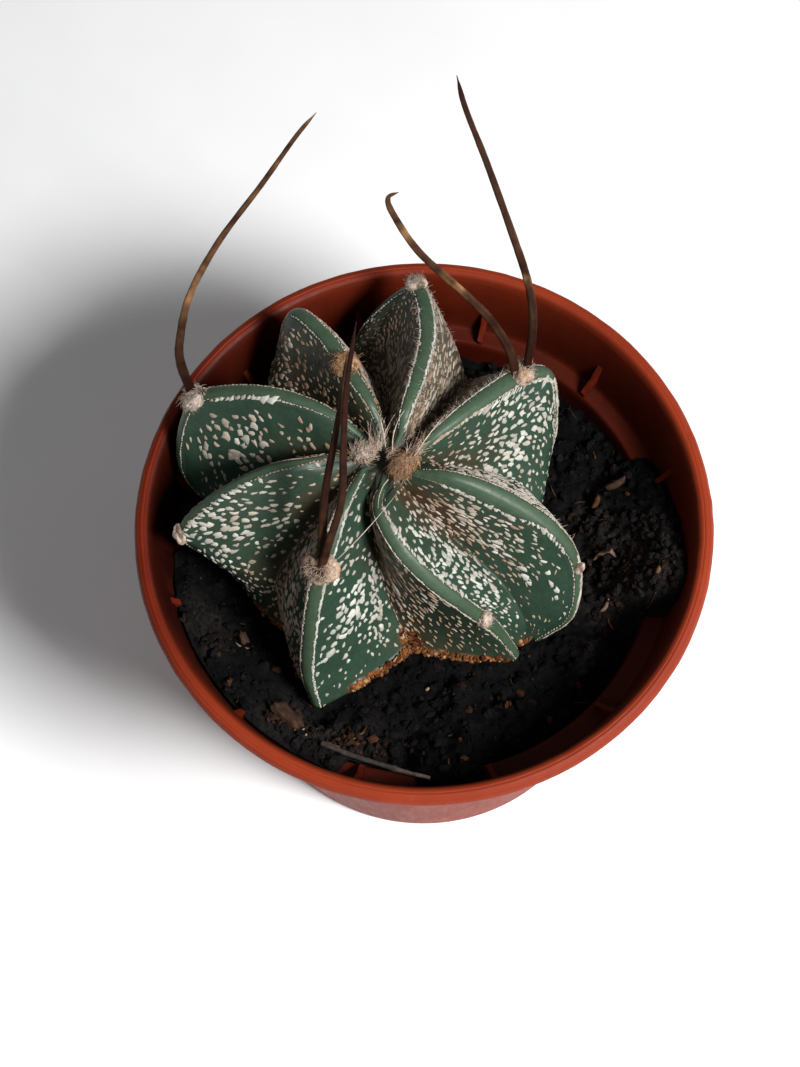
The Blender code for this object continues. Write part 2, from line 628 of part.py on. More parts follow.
def make_areoles(plant, collection, cutter_collection, wool):
    """The wool pads on the ribs and the two tufts at the crown."""
    seat = make_grown_plant(plant, cutter_collection)
    sockets = {spine: make_spine_socket("socket_" + spine, stations, cutter_collection)
               for spine, stations in SPINES.items()}
    for pad, (rib, station, half_sizes) in WOOL_PADS.items():
        crest, along, out, side = crest_frames(rib, np.array([station]))
        turn = Matrix((along[0], side[0], out[0])).transposed()
        if turn.determinant() < 0:
            turn = Matrix((along[0], -side[0], out[0])).transposed()
        own = [sockets[spine] for spine in SPINES if SPINE_PAD[spine] == pad]
        make_pad("wool_rib_" + pad, crest[0], turn, half_sizes, seat, own, collection, wool)
    for side_name, (place, half_sizes) in CROWN_TUFTS.items():
        middle = Vector(place) * MM
        make_pad("wool_crown_" + side_name, middle, Matrix.Identity(3), half_sizes, seat, (),
                 collection, wool)


def make_twig(collection, material):
    """A thin dry twig that leans from the soil at the front onto the pot's ledge."""
    curve = bpy.data.curves.new("twig", "CURVE")
    curve.dimensions = "3D"
    curve.bevel_depth = TWIG_RADIUS
    curve.bevel_resolution = 2
    curve.use_fill_caps = True
    curve.materials.append(material)
    spline = curve.splines.new("POLY")
    spline.points.add(len(TWIG_POINTS) - 1)
    for point, place in zip(spline.points, TWIG_POINTS):
        point.co = (*(Vector(place) * MM), 1.0)
    twig = bpy.data.objects.new("twig", curve)
    collection.objects.link(twig)
    return twig


def make_bark_chip(name, place, half_sizes, bearing, collection, material):
    """A flat crumb of bark that lies on the soil's slope."""
    x, y = place[0] * MM, place[1] * MM
    step = 0.5 * MM
    heights = soil_height(np.array([x, x + step, x]), np.array([y, y, y + step]))
    up = Vector((heights[0] - heights[1], heights[0] - heights[2], step)).normalized()
    heading = math.radians(bearing)
    along = Vector((math.cos(heading), math.sin(heading), 0.0))
    along = (along - along.dot(up) * up).normalized()
    turn = Matrix((along, up.cross(along), up)).transposed()
    form = bmesh.new()
    bmesh.ops.create_cube(form, size=2.0, matrix=Matrix.Diagonal((*[h * MM for h in half_sizes], 1.0)))
    mesh = bpy.data.meshes.new(name)
    form.to_mesh(mesh)
    form.free()
    chip = add_object(name, mesh, collection, material)
    lift = CHIP_LIFT + half_sizes[2] * MM
    chip.matrix_world = Matrix.Translation(Vector((x, y, heights[0])) + lift * up) @ turn.to_4x4()
    bevel = chip.modifiers.new("Worn edges", "BEVEL")
    bevel.width = half_sizes[2] * 0.6 * MM
    bevel.segments = 1
    return chip


def main():
    """Clear the scene and build every piece of the potted plant."""
    for thing in list(bpy.data.objects):
        bpy.data.objects.remove(thing, do_unlink=True)
    collection = make_collection("potted_goats_horn_cactus")
    cutters = make_collection("cutters")
    terracotta = make_material("terracotta_plastic", (0.46, 0.085, 0.035), 0.42)
    peat = make_material("peat", (0.012, 0.010, 0.009), 0.95)
    skin_green = make_material("cactus_skin", (0.055, 0.13, 0.075), 0.6)
    wool = make_material("areole_wool", (0.62, 0.5, 0.38), 0.95)
    horn = make_material("spine_horn", (0.07, 0.035, 0.025), 0.45)
    litter = make_material("bark", (0.11, 0.06, 0.035), 0.9)

    make_pot(collection, cutters, terracotta)
    make_soil(collection, cutters, peat)
    plant = make_plant(collection, cutters, skin_green)
    make_areoles(plant, collection, cutters, wool)
    for spine, stations in SPINES.items():
        make_spine("spine_" + spine, stations, collection, horn)
    make_twig(collection, litter)
    for name, (place, half_sizes, bearing) in BARK_CHIPS.items():
        make_bark_chip(name, place, half_sizes, bearing, collection, litter)


main()
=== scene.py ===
"""Looks of a potted goats horn cactus, in metres, laid out as a Blender add-on and run as a script.

Each piece is a skin over rows of points that are worked out as whole arrays. Places that are written as
plain numbers in the tables are in millimetres, as in the part's source.
"""
import functools
import itertools
import math
from collections import namedtuple

import bmesh
import bpy
import numpy as np
from mathutils import Matrix, Vector


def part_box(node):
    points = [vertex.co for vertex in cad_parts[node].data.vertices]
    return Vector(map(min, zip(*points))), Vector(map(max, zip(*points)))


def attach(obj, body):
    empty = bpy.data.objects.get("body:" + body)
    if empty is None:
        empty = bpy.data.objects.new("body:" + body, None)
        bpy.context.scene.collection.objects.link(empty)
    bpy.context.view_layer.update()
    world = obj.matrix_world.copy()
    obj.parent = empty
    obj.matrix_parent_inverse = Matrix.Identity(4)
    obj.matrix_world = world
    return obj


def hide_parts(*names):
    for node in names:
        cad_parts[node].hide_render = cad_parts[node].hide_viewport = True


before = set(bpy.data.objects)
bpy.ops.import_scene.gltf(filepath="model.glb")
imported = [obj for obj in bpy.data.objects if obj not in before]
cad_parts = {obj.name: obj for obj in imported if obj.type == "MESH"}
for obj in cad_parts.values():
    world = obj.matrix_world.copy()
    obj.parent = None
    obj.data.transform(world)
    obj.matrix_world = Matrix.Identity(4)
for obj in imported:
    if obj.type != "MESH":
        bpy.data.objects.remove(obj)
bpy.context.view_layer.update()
POT_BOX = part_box("pot")

bl_info = {
    "name": "Potted goats horn cactus",
    "version": (1, 0, 0),
    "blender": (4, 5, 0),
    "location": "3D View > Sidebar > Cactus",
    "description": "An eight-ribbed flecked cactus with long horns, in soil in a plastic nursery pot",
    "category": "Add Mesh",
}

MM = 0.001
FULL_TURN = 2 * math.pi

# Pot, as in the part's source
WALL = 1.3 * MM
LIP_WIDTH = 2.8 * MM
LIP_DEPTH = 2.8 * MM
LEDGE_HEIGHT = 55.0 * MM
LEDGE_RADIUS = 37.2 * MM
COLLAR_FOOT_RADIUS = 40.1 * MM
FOOT_RADIUS = 32.3 * MM
FLOOR_TOP = 3.4 * MM
FLOOR_RECESS = 1.9 * MM
FOOT_RING_WIDTH = 3.2 * MM
FIN_COUNT = 12
FIN_FIRST_BEARING = 14.0
FIN_RISE = 6.5 * MM
DRAIN_COUNT = 8
DRAIN_RADIUS = 3.0 * MM
DRAIN_CIRCLE = 19.0 * MM
POT_STEPS = 288

# Soil, as in the part's source: bearing in degrees, height at the wall, radius where the rise starts
SOIL_LEVEL = 49.7 * MM
BANK_END = 37.6
BANK_CURVE = 1.2
SOIL_BANK = (
    (-172.0, 57.8, 31.6), (-162.0, 58.6, 29.6), (-148.0, 58.3, 28.2), (-138.0, 58.0, 29.6),
    (-127.0, 57.6, 31.9), (-120.0, 57.0, 31.6), (-112.0, 56.2, 29.0), (-106.0, 53.6, 28.0),
    (-97.0, 53.2, 28.0), (-92.0, 56.0, 27.0), (-84.0, 56.6, 27.0), (-78.0, 56.0, 28.0),
    (-72.0, 50.6, 31.0), (-26.0, 50.4, 31.0), (-21.0, 51.5, 29.0), (-17.0, 62.5, 26.0),
    (-12.0, 64.0, 25.5), (-3.0, 61.5, 25.5), (9.0, 58.0, 26.0), (20.0, 56.5, 28.0),
    (27.0, 52.0, 31.0), (68.0, 51.6, 32.0), (83.0, 50.0, 32.0), (164.0, 50.2, 32.0),
    (174.0, 53.5, 32.0), (182.0, 56.6, 31.8),
)
LUMP_COUNT = 46
LUMP_SEED = 11
LUMP_SPREAD = 1.7 * MM
LUMP_HEIGHT = (0.5 * MM, 1.7 * MM)

# Plant, as in the part's source: stations along each rib's crest, counter-clockwise from the back right
NECK_PLACE = (-6.0 * MM, 4.0 * MM)
NECK_RADIUS = 8.0 * MM
NECK_TIP_RADIUS = 4.0 * MM
NECK_FOOT = 30.0 * MM
FOOT_INSET = 0.95
PLANT_FOOT = 50.0 * MM
FOOT_BEVEL = 0.8 * MM
RIB_STATIONS = {
    "b": ((-0.6, 5.9, 80.5), (3.2, 8.9, 82.0), (9.0, 14.2, 80.5), (15.2, 20.2, 76.0),
          (20.9, 22.7, 71.0), (21.8, 17.2, 62.5), (18.8, 12.2, 51.0)),
    "a": ((-3.3, 8.4, 80.5), (-2.4, 11.6, 82.5), (-0.4, 18.0, 82.0), (1.3, 27.5, 78.5),
          (-0.6, 36.6, 75.5), (-8.6, 35.0, 66.0), (-11.0, 32.6, 51.0)),
    "h": ((-6.2, 9.8, 80.5), (-7.9, 13.6, 82.5), (-11.0, 19.0, 82.0), (-15.0, 26.4, 80.0),
          (-20.0, 32.2, 76.0), (-22.2, 30.6, 62.5), (-20.4, 27.8, 51.0)),
    "g": ((-9.4, 8.6, 80.5), (-13.5, 11.4, 82.5), (-20.5, 14.6, 82.5), (-28.0, 16.4, 81.0),
          (-35.6, 16.2, 77.0), (-38.5, 10.8, 64.5), (-33.0, 8.2, 51.0)),
    "f": ((-11.8, 5.6, 80.0), (-18.3, 3.6, 82.0), (-25.0, 2.2, 81.0), (-32.3, -0.6, 77.5),
          (-37.3, -3.2, 71.5), (-33.2, -2.6, 61.0), (-29.5, -3.8, 51.0)),
    "e": ((-9.0, 3.6, 79.4), (-12.0, -3.4, 82.0), (-14.2, -8.6, 80.0), (-16.5, -13.8, 75.0),
          (-18.0, -18.6, 67.5), (-18.8, -22.3, 58.5), (-17.8, -25.0, 51.0)),
    "d": ((-6.3, 0.7, 79.5), (-7.0, -4.2, 81.5), (-3.8, -10.0, 80.0), (1.0, -13.6, 75.5),
          (6.5, -15.6, 69.0), (11.3, -16.0, 60.0), (14.8, -17.2, 51.0)),
    "c": ((-1.2, 2.4, 80.5), (4.6, 0.8, 82.0), (12.0, -1.2, 79.0), (19.3, -4.2, 73.5),
          (23.4, -8.0, 67.0), (23.0, -13.4, 58.5), (18.0, -15.0, 51.0)),
}
RIBS = list(RIB_STATIONS)
CROWN = (-5.6 * MM, 5.2 * MM, 77.5 * MM)
FURROW_SHARE = (0.74, 0.66, 0.66, 0.72, 0.78, 0.84, 0.88)
FURROW_SHARE_AT = {
    "b": (0.74, 0.66, 0.68, 0.78, 0.84, 0.86, 0.88),
    "e": (0.74, 0.66, 0.64, 0.70, 0.72, 0.75, 0.80),
    "d": (0.74, 0.64, 0.64, 0.74, 0.85, 0.93, 0.96),
    "f": (0.74, 0.66, 0.66, 0.72, 0.79, 0.86, 0.90),
}
FURROW_HEIGHTS = (79.0, 77.0, 73.0, 68.0, 62.5, 56.5, 51.0)
CREST_HALF_WIDTH = (0.62, 1.1, 1.45, 1.5, 1.45, 1.3, 1.1)
CREST_LIFT = 0.62
FLANK_BULGE = 0.035
CROWN_UPRIGHT = 0.1
LAST_PLACE = len(FURROW_SHARE) - 1
COARSE_ROWS = 19
COARSE_CREST = 5
COARSE_FLANK = (0.34, 0.7)
FINE_ROWS = 138
FOOT_ROWS = 20
CROWN_ROWS = 4
FINE_CREST = 13
FINE_FLANK = 23

# Flecks of each flank, named by its rib and the rib that it faces: length, width as a share of it, turn in
# degrees, paleness, how brown the skin between them is; then where they are thickest, as a place along
# the rib, a share of the way to the furrow, a reach, and the share of them that is left far from there;
# then length, spacing and paleness of the fine line along the crest's edge
# Paleness is partly painted shade: the flecks on flanks that face away from the light are given darker,
# browner tones
Flank = namedtuple("Flank", "length slim turn paleness brown place share reach thin "
                            "edge_length edge_spacing edge_paleness")
FLANK_LOOKS = {
    "ba": (1.50, 0.36, -20, 0.55, 0.85, 3.0, 0.50, 3.0, 0.95, 0.8, 0.55, 0.80),
    "bc": (1.50, 0.58, -20, 0.88, 0.22, 3.2, 0.60, 1.3, 0.72, 0.8, 0.60, 0.62),
    "ab": (1.70, 0.36, -15, 0.62, 0.85, 3.0, 0.50, 2.6, 1.00, 1.2, 0.40, 0.95),
    "ah": (1.35, 0.38, -30, 0.42, 0.80, 3.2, 0.60, 1.9, 0.65, 0.7, 0.60, 0.72),
    "ha": (1.25, 0.40, -25, 0.45, 0.60, 3.0, 0.60, 2.0, 0.70, 0.7, 0.65, 0.52),
    "hg": (1.50, 0.50, -25, 0.36, 0.65, 4.1, 0.58, 1.8, 0.55, 0.7, 0.60, 0.60),
    "gh": (1.10, 0.45, -20, 0.45, 0.30, 3.0, 0.50, 2.0, 0.60, 0.6, 0.60, 0.50),
    "gf": (1.70, 0.60, -73, 0.60, 0.20, 3.3, 0.42, 1.15, 0.36, 0.6, 0.55, 0.55),
    "fg": (1.10, 0.45, -20, 0.50, 0.30, 3.0, 0.50, 2.0, 0.60, 0.6, 0.50, 0.60),
    "fe": (1.50, 0.60, -47, 0.84, 0.40, 3.1, 0.28, 1.2, 0.60, 0.6, 0.60, 0.40),
    "ef": (1.40, 0.45, -20, 0.50, 0.75, 3.0, 0.50, 2.5, 0.90, 0.8, 0.60, 0.50),
    "ed": (1.60, 0.60, -40, 0.98, 0.12, 3.9, 0.45, 1.35, 0.40, 1.3, 0.58, 0.92),
    "de": (2.10, 0.26, -6, 0.42, 0.85, 2.0, 0.50, 2.4, 0.70, 0.9, 0.55, 0.55),
    "dc": (1.50, 0.58, -16, 0.98, 0.45, 3.3, 0.30, 1.3, 0.55, 0.7, 0.55, 0.55),
    "cd": (1.50, 0.40, -7, 0.62, 0.85, 2.1, 0.58, 1.2, 0.48, 0.7, 0.70, 0.50),
    "cb": (1.20, 0.50, -15, 0.78, 0.35, 2.6, 0.40, 1.6, 0.60, 0.7, 0.55, 0.50),
}

# Flanks that stay brown down to the foot, flanks with corky scabs, and share of the grey-brown felt over
# the skin between the flecks
BROWN_TO_FOOT = ("fe", "ef", "fg", "hg", "de", "ab", "ba", "ah")
SCABBY = ("de", "ed")
FELT = {"ab": 0.75, "ba": 0.70, "ah": 0.30, "hg": 0.25, "ha": 0.20}

# Column of the crest's edge in the finished grid, from the crest's middle, at places along the rib
EDGE_COLUMN = 3.7
EDGE_COLUMNS = {
    "fe": ((0.0, 1.6), (6.0, 1.6)),
    "fg": ((0.0, 6.4), (6.0, 6.4)),
    "cd": ((0.8, 9.6), (1.6, 9.0), (2.4, 7.4), (2.8, 3.4), (6.0, 2.4)),
    "bc": ((0.0, 5.4), (6.0, 5.4)),
    "gf": ((0.0, 3.6), (6.0, 3.6)),
}

# Loose rows of larger flecks: flank, first and last place, columns past the crest's edge, length, spacing,
# width as a share of the length, turn in degrees, paleness
BEAD_ROWS = (
    ("gf", 2.2, 3.5, 0.8, 1.35, 0.82, 0.60, 24.0, 0.80),
    ("fe", 2.2, 4.6, 0.7, 1.60, 0.98, 0.40, -42.0, 0.92),
    ("cd", 1.0, 2.7, 0.6, 1.50, 0.98, 0.50, 22.0, 0.82),
    ("cd", 2.7, 3.7, 0.9, 1.20, 0.75, 0.55, 30.0, 0.80),
    ("bc", 1.9, 3.1, 1.4, 1.60, 0.82, 0.28, -50.0, 0.95),
    ("bc", 0.6, 1.9, 0.3, 1.20, 0.95, 0.55, 10.0, 0.50),
    ("bc", 3.2, 4.5, 0.6, 1.40, 0.72, 0.42, -25.0, 0.85),
    ("ef", 0.6, 5.6, 0.0, 1.00, 0.62, 0.60, 20.0, 0.45),
    ("cb", 3.9, 5.9, -1.9, 1.70, 0.62, 0.50, 0.0, 0.60),
    ("bc", 4.1, 5.4, -2.6, 1.60, 0.62, 0.50, 0.0, 0.55),
    ("fe", 4.3, 5.8, -0.9, 1.50, 0.60, 0.50, 0.0, 0.42),
    ("dc", 1.0, 2.6, 0.5, 1.10, 0.62, 0.55, -20.0, 0.62),
    ("ah", 1.2, 3.4, 0.1, 1.00, 0.62, 0.45, 15.0, 0.80),
    ("ed", 2.8, 5.6, 21.0, 1.60, 1.50, 0.55, 10.0, 0.72),
    ("ed", 3.2, 5.6, 23.2, 1.40, 1.20, 0.50, 0.0, 0.50),
    ("de", 3.0, 5.6, 22.6, 1.60, 0.90, 0.40, 0.0, 0.45),
    ("dc", 2.5, 4.3, 17.5, 1.70, 1.30, 0.60, -16.0, 0.90),
    ("cd", 2.7, 4.2, 18.0, 1.55, 1.40, 0.60, -20.0, 0.86),
    ("cd", 3.0, 4.6, 11.0, 1.50, 1.90, 0.60, -20.0, 0.86),
    ("dc", 2.2, 3.6, 21.5, 1.30, 0.80, 0.40, -10.0, 0.40),
    ("cd", 1.6, 2.9, 20.5, 1.50, 0.72, 0.35, -7.0, 0.42),
)
# Columns without flecks past the crest's edge
BARE_STRIP = {"gf": 4.5, "cd": 2.2, "fe": 0.8, "ed": 1.2, "bc": 1.0}

# Pad on each rib: place along it, half sizes along, across and out of the crest, share of golden wool,
# hairs against the usual number, and the way that they are combed
WOOL_PADS = {
    "b": (3.05, (2.5, 2.3, 1.9), 0.50, 0.8, (0.3, 0.2, 0.0)),
    "e": (2.55, (2.9, 3.3, 1.9), 0.52, 0.8, (0.4, -0.2, 0.0)),
    "g": (3.85, (2.6, 2.2, 1.7), 0.02, 1.0, (0.9, 0.5, -0.4)),
    "h": (2.1, (2.3, 2.4, 1.5), 0.95, 1.5, (-0.3, 0.7, 0.2)),
    "d": (4.45, (1.5, 1.6, 1.2), 0.28, 0.3, (0.2, 0.2, 0.0)),
    "c": (4.1, (1.7, 1.5, 0.9), 0.30, 0.0, (0.0, 0.0, 0.0)),
    "a": (3.95, (2.2, 1.7, 1.3), 0.12, 0.9, (0.8, 0.0, 0.5)),
    "f": (4.0, (2.6, 1.8, 0.9), 0.40, 0.0, (0.0, 0.0, 0.0)),
}
# Tuft at each side of the crown: its middle, then as for a pad, and its bearing in degrees
CROWN_TUFTS = {
    "left": ((-9.0, 5.6, 80.5), (2.4, 1.7, 1.8), 0.30, 1.6, (0.5, 0.3, 0.1), 0.0),
    "right": ((-2.9, 3.7, 80.6), (2.9, 1.8, 2.0), 0.95, 2.2, (-0.9, -0.9, -0.3), 38.0),
}

# Fans of longer hairs at the crown: root, direction, number, length, share of golden wool
FANS = (
    ((-6.6, 6.4, 81.4), (0.05, 0.9, 0.45), 46, 3.4, 0.10),
    ((-7.4, 6.2, 81.6), (-0.2, 0.9, 0.35), 24, 2.6, 0.25),
    ((-5.4, 5.0, 81.0), (0.6, 0.3, 0.4), 30, 2.2, 0.55),
    ((-1.9, 4.6, 81.4), (0.62, 0.72, 0.3), 46, 3.2, 0.45),
    ((-2.6, 2.6, 81.0), (-0.35, -0.9, -0.1), 34, 1.9, 0.75),
    ((-10.6, 5.2, 80.8), (-0.9, 0.1, 0.1), 24, 2.0, 0.80),
)

# Fuzz on the skin: flank, first and last place, first and last column, number, share of golden wool
FUZZ = (
    ("ab", 1.2, 4.4, 3.2, 4.8, 520, 0.0), ("ba", 0.8, 3.6, 3.6, 5.6, 320, 0.1),
    ("ab", 0.6, 4.6, 6.0, 26.0, 560, 0.45), ("ba", 0.6, 3.4, 6.0, 20.0, 360, 0.45),
    ("ah", 1.6, 4.2, 3.2, 4.6, 180, 0.25), ("cb", 1.0, 3.6, 4.0, 6.5, 160, 0.2),
)

# Loose bristles: station points
BRISTLES = (
    ((-13.1, -11.4, 80.5), (-10.0, -10.1, 85.0), (-6.9, -7.0, 86.0), (-4.0, -2.5, 84.0)),
    ((-1.5, 4.0, 82.0), (0.3, 5.7, 84.5), (2.3, 8.4, 84.5), (3.4, 10.0, 84.0)),
    ((-5.3, 0.8, 81.4), (-6.1, -0.9, 82.8), (-6.7, -2.5, 82.6), (-6.9, -4.0, 82.0)),
    ((-4.6, 5.4, 81.6), (-4.4, 6.7, 84.0), (-3.6, 9.0, 84.5), (-2.6, 10.8, 84.2)),
    ((-5.6, 6.0, 81.6), (-5.9, 7.8, 83.6), (-6.4, 9.8, 84.2), (-7.2, 11.4, 84.0)),
)

# Spines: station points from the foot to the tip, then pairs of a share of the length and how tan it is
SPINES = {
    "left": (((-35.0, 17.0, 78.4), (-36.1, 19.2, 85.0), (-35.6, 20.8, 90.0), (-33.4, 23.4, 98.0),
              (-28.4, 26.3, 108.0), (-21.6, 29.8, 117.5), (-16.5, 33.2, 124.0), (-13.6, 35.2, 126.6)),
             ((0.0, 0.0), (0.36, 0.15), (0.44, 0.85), (0.52, 0.35), (0.6, 0.25), (1.0, 0.3))),
    "hooked": (((14.6, 20.2, 76.9), (13.6, 21.9, 81.0), (10.5, 24.1, 87.0), (6.5, 25.5, 93.0),
                (0.0, 26.8, 103.0), (-3.6, 28.7, 110.5), (-4.3, 29.8, 113.2), (-2.8, 30.6, 113.4)),
               ((0.0, 0.05), (0.4, 0.1), (0.47, 0.75), (0.52, 0.12), (0.6, 0.15), (0.64, 0.9),
                (0.69, 0.15), (0.9, 0.15), (1.0, 0.5))),
    "tall": (((16.3, 20.8, 76.0), (17.0, 23.0, 83.0), (16.8, 25.0, 89.0), (15.7, 26.9, 95.0),
              (13.5, 29.1, 103.0), (9.5, 32.8, 116.5), (6.4, 36.0, 125.5), (5.2, 38.2, 130.0)),
             ((0.0, 0.0), (0.38, 0.1), (0.43, 0.9), (0.47, 0.15), (1.0, 0.0))),
    "front_left": (((-15.4, -10.2, 79.2), (-14.9, -7.2, 85.0), (-14.3, -4.2, 90.0),
                    (-12.5, 0.8, 98.0), (-11.2, 4.4, 104.5), (-10.2, 7.6, 111.0)),
                   ((0.0, 0.1), (0.5, 0.0), (0.8, 0.1), (1.0, 0.3))),
    "front_right": (((-15.7, -12.3, 78.0), (-14.2, -9.9, 83.0), (-12.0, -5.8, 90.0),
                     (-11.4, -0.9, 98.0), (-10.6, 4.0, 107.0), (-8.9, 8.8, 117.0)),
                    ((0.0, 0.1), (0.5, 0.05), (1.0, 0.0))),
}

# Litter on the soil: the twig's points, and each chip's place, half sizes and bearing in degrees
TWIG_POINTS = ((-16.6, -32.6, 56.9), (-13.0, -34.2, 56.9), (-9.5, -35.5, 56.9),
               (-5.8, -36.8, 57.0), (-2.8, -37.8, 57.1), (0.0, -38.6, 57.3))
BARK_CHIPS = {
    "bark_chip_large": ((-22.8, -28.6), (2.9, 1.5, 0.9), -46.0),
    "bark_chip_small": ((-29.5, -14.6), (1.2, 0.7, 0.5), -65.0),
}
CHIP_LIFT = 0.45 * MM

# Seeds of the draws, and of the noise of pieces that come in numbers
CRUMB_SEED = 61
FLECK_SEED = 71
PAD_HAIR_SEED = 91
PAD_TINT_SEED = 97
PAD_SEED = 101
CHIP_SEED = 131
FUZZ_SEED = 141
CORK_SEED = 151

# Tints that multiply the plastic's colour: painted shade inside, on the left, on the left lip and on the
# fins, and a soil smear; then finishes' fixed colours
WHITE = (1.0, 1.0, 1.0)
# Painted shade: the inside of the pot darker, most towards the soil
INNER_PAINTED_SHADE = (0.26, 0.22, 0.20)
# Painted shade on the left of the inner wall
LEFT_PAINTED_SHADE = (0.22, 0.19, 0.18)
# Painted shade on the left of the lip
LIP_PAINTED_SHADE = (0.58, 0.48, 0.44)
SOIL_SMEAR = (0.20, 0.22, 0.24)
# Painted shade: the fins, of the same plastic as the pot, darkened where they stand inside it
FIN_PAINTED_SHADE = (0.42, 0.36, 0.33)
TWIG_DARK = (0.045, 0.034, 0.030)
PALE_CORK = (0.62, 0.40, 0.22)
SPINE_STAIN = (0.055, 0.012, 0.008)

# Directions from which the side of a hair, and of what lies on the soil, is worked out
HAIR_SIDE = (0.31, 0.22, 0.93)
UPWARD = (0.0, 0.0, 1.0)

# Camera, in the photograph's pixels where they are named so, and lights: place in metres, size in metres
# and share of the key light's power
FOCAL_PIXELS = 2000.0
FRAME_PIXELS = 1067.0
SENSOR_WIDTH = 36.0
CAMERA_TARGET = (-3.74, -2.64, 68.0)
LIGHT_TARGET = (0.0, 0.0, 60.0)
LIGHTS = {
    "key": ((0.32, -0.25, 0.52), 0.17, 1.0),
    "fill": ((-0.35, -0.45, 0.60), 0.6, 0.08),
}
SKY_COLOUR = (0.95, 0.97, 1.0, 1.0)
SKY_STRENGTH = 0.16
FLOOR_REACH = 3.0
SHARP_ANGLE = math.radians(50.0)

# Cork bits: flank, first and last place, first and last share of the way to the furrow, number, size
CORK_BITS = (
    ("ed", 5.84, 5.99, 0.30, 1.0, 210, 0.38), ("de", 5.84, 5.99, 0.04, 1.0, 210, 0.38),
    ("de", 5.25, 5.8, 0.84, 1.0, 46, 0.34), ("ed", 5.35, 5.8, 0.92, 1.0, 22, 0.32),
    ("cd", 2.5, 3.2, 0.90, 1.0, 12, 0.26), ("fe", 5.78, 5.98, 0.35, 1.0, 50, 0.34),
    ("ef", 5.78, 5.98, 0.30, 1.0, 50, 0.34), ("dc", 5.84, 5.98, 0.40, 1.0, 26, 0.30),
    ("cd", 5.84, 5.98, 0.50, 1.0, 26, 0.30),
)

# Heaps of crumbs: place, reach, number, largest size, share of bark, share of dry peat
CLODS = (
    ((-22.5, -27.7), 2.8, 90, 0.80, 0.62, 0.8), ((-13.0, -31.6), 2.9, 64, 0.75, 0.50, 0.6),
    ((-17.2, -30.3), 1.7, 18, 0.95, 0.10, 1.0), ((-35.6, -12.0), 2.4, 14, 1.00, 0.05, 0.6),
    ((-33.5, -16.5), 1.8, 10, 0.90, 0.08, 0.5), ((-8.0, -33.0), 1.9, 18, 0.70, 0.35, 0.5),
    ((30.5, -3.0), 4.5, 60, 0.85, 0.10, 1.0), ((34.5, -7.5), 3.2, 44, 0.80, 0.22, 1.0),
    ((29.0, -10.5), 2.2, 26, 0.75, 0.25, 0.8), ((35.5, 1.5), 2.6, 30, 0.85, 0.08, 1.0),
    ((28.0, 4.5), 2.6, 26, 0.80, 0.12, 0.8), ((26.5, -17.0), 1.6, 10, 0.60, 0.05, 0.8),
    ((38.6, -3.5), 2.7, 46, 0.70, 0.10, 1.0), ((38.2, -8.5), 2.3, 30, 0.70, 0.15, 0.9),
)

# Single flakes: place, length, width, bearing in degrees, bow, share of bark, share of straw
FLAKES = (
    (29.1, -1.6, 3.4, 0.95, -5.0, -1.3, 1.0, 0.35), (36.0, -2.9, 1.3, 0.60, 80.0, 0.4, 0.8, 0.8),
    (31.9, -4.7, 1.7, 0.60, 30.0, 0.5, 0.9, 0.0), (36.1, -8.0, 2.3, 0.75, 62.0, 0.4, 1.0, 0.15),
    (28.7, -10.1, 1.7, 0.75, 45.0, 0.5, 0.8, 0.75), (29.6, -12.3, 2.4, 0.42, -70.0, 0.2, 1.0, 0.0),
    (31.4, 10.5, 3.4, 1.50, 15.0, 0.3, 0.35, 0.05), (28.3, 8.0, 2.1, 1.10, 60.0, 0.4, 0.55, 0.0),
    (-29.8, -13.3, 1.5, 1.00, 20.0, 0.2, 1.0, 0.1), (0.0, -22.4, 0.7, 0.60, 20.0, 0.0, 0.6, 0.95),
    (-19.5, -29.7, 0.45, 0.36, 0.0, 0.0, 0.0, 1.0), (-19.0, -31.0, 0.40, 0.34, 40.0, 0.0, 0.0, 1.0),
    (-15.0, -32.4, 2.6, 0.50, -25.0, 0.3, 1.0, 0.1), (-11.0, -30.2, 2.2, 0.45, 30.0, -0.3, 0.9, 0.1),
    (-24.0, -26.3, 2.8, 0.70, -40.0, 0.5, 0.9, 0.15), (-21.0, -29.3, 2.4, 0.60, -70.0, -0.4, 0.8, 0.2),
)


def length_setting(name, description, default, low, high):
    """A length in metres between low and high."""
    return bpy.props.FloatProperty(name=name, description=description, default=default, min=low, max=high,
                                   precision=6, unit="LENGTH")


def factor_setting(name, description, default, low, high):
    """A plain factor between low and high."""
    return bpy.props.FloatProperty(name=name, description=description, default=default, min=low, max=high,
                                   subtype="FACTOR")


def angle_setting(name, description, degrees, low, high):
    """An angle between low and high, all three in degrees."""
    return bpy.props.FloatProperty(name=name, description=description, default=math.radians(degrees),
                                   min=math.radians(low), max=math.radians(high), subtype="ANGLE")


def count_setting(name, description, default, most):
    """A number of like things, up to most."""
    return bpy.props.IntProperty(name=name, description=description, default=default, min=0, max=most)


def colour_setting(name, description, default):
    """A colour of a finish."""
    return bpy.props.FloatVectorProperty(name=name, description=description, default=default, size=3,
                                         min=0.0, max=1.0, subtype="COLOR")


class CactusPotSettings(bpy.types.PropertyGroup):
    """Sizes and colours of the pot."""
    rim_radius: length_setting("Rim radius", "Radius of the lip's outer edge", POT_BOX[1].x, 0.02, 0.2)
    height: length_setting("Height", "Height of the pot over its foot", POT_BOX[1].z, 0.03, 0.3)
    fin_thickness: length_setting("Fin thickness", "Thickness of the small fins on the ledge",
                                  0.9 * MM, 0.2 * MM, 4.0 * MM)
    groove_depth: length_setting("Groove depth", "Depth of the fine grooves on the lip",
                                 0.085 * MM, 0.0, 1.0 * MM)
    plastic: colour_setting("Plastic", "Main colour of the pot", (0.235, 0.029, 0.0085))
    plastic_dark: colour_setting("Dark plastic", "Darker patches of the pot", (0.185, 0.022, 0.0070))
    # Also the colour of fine pale specks that are painted glints
    dust_and_glints: colour_setting("Dust", "Dust and lime marks on the pot", (0.25, 0.07, 0.035))


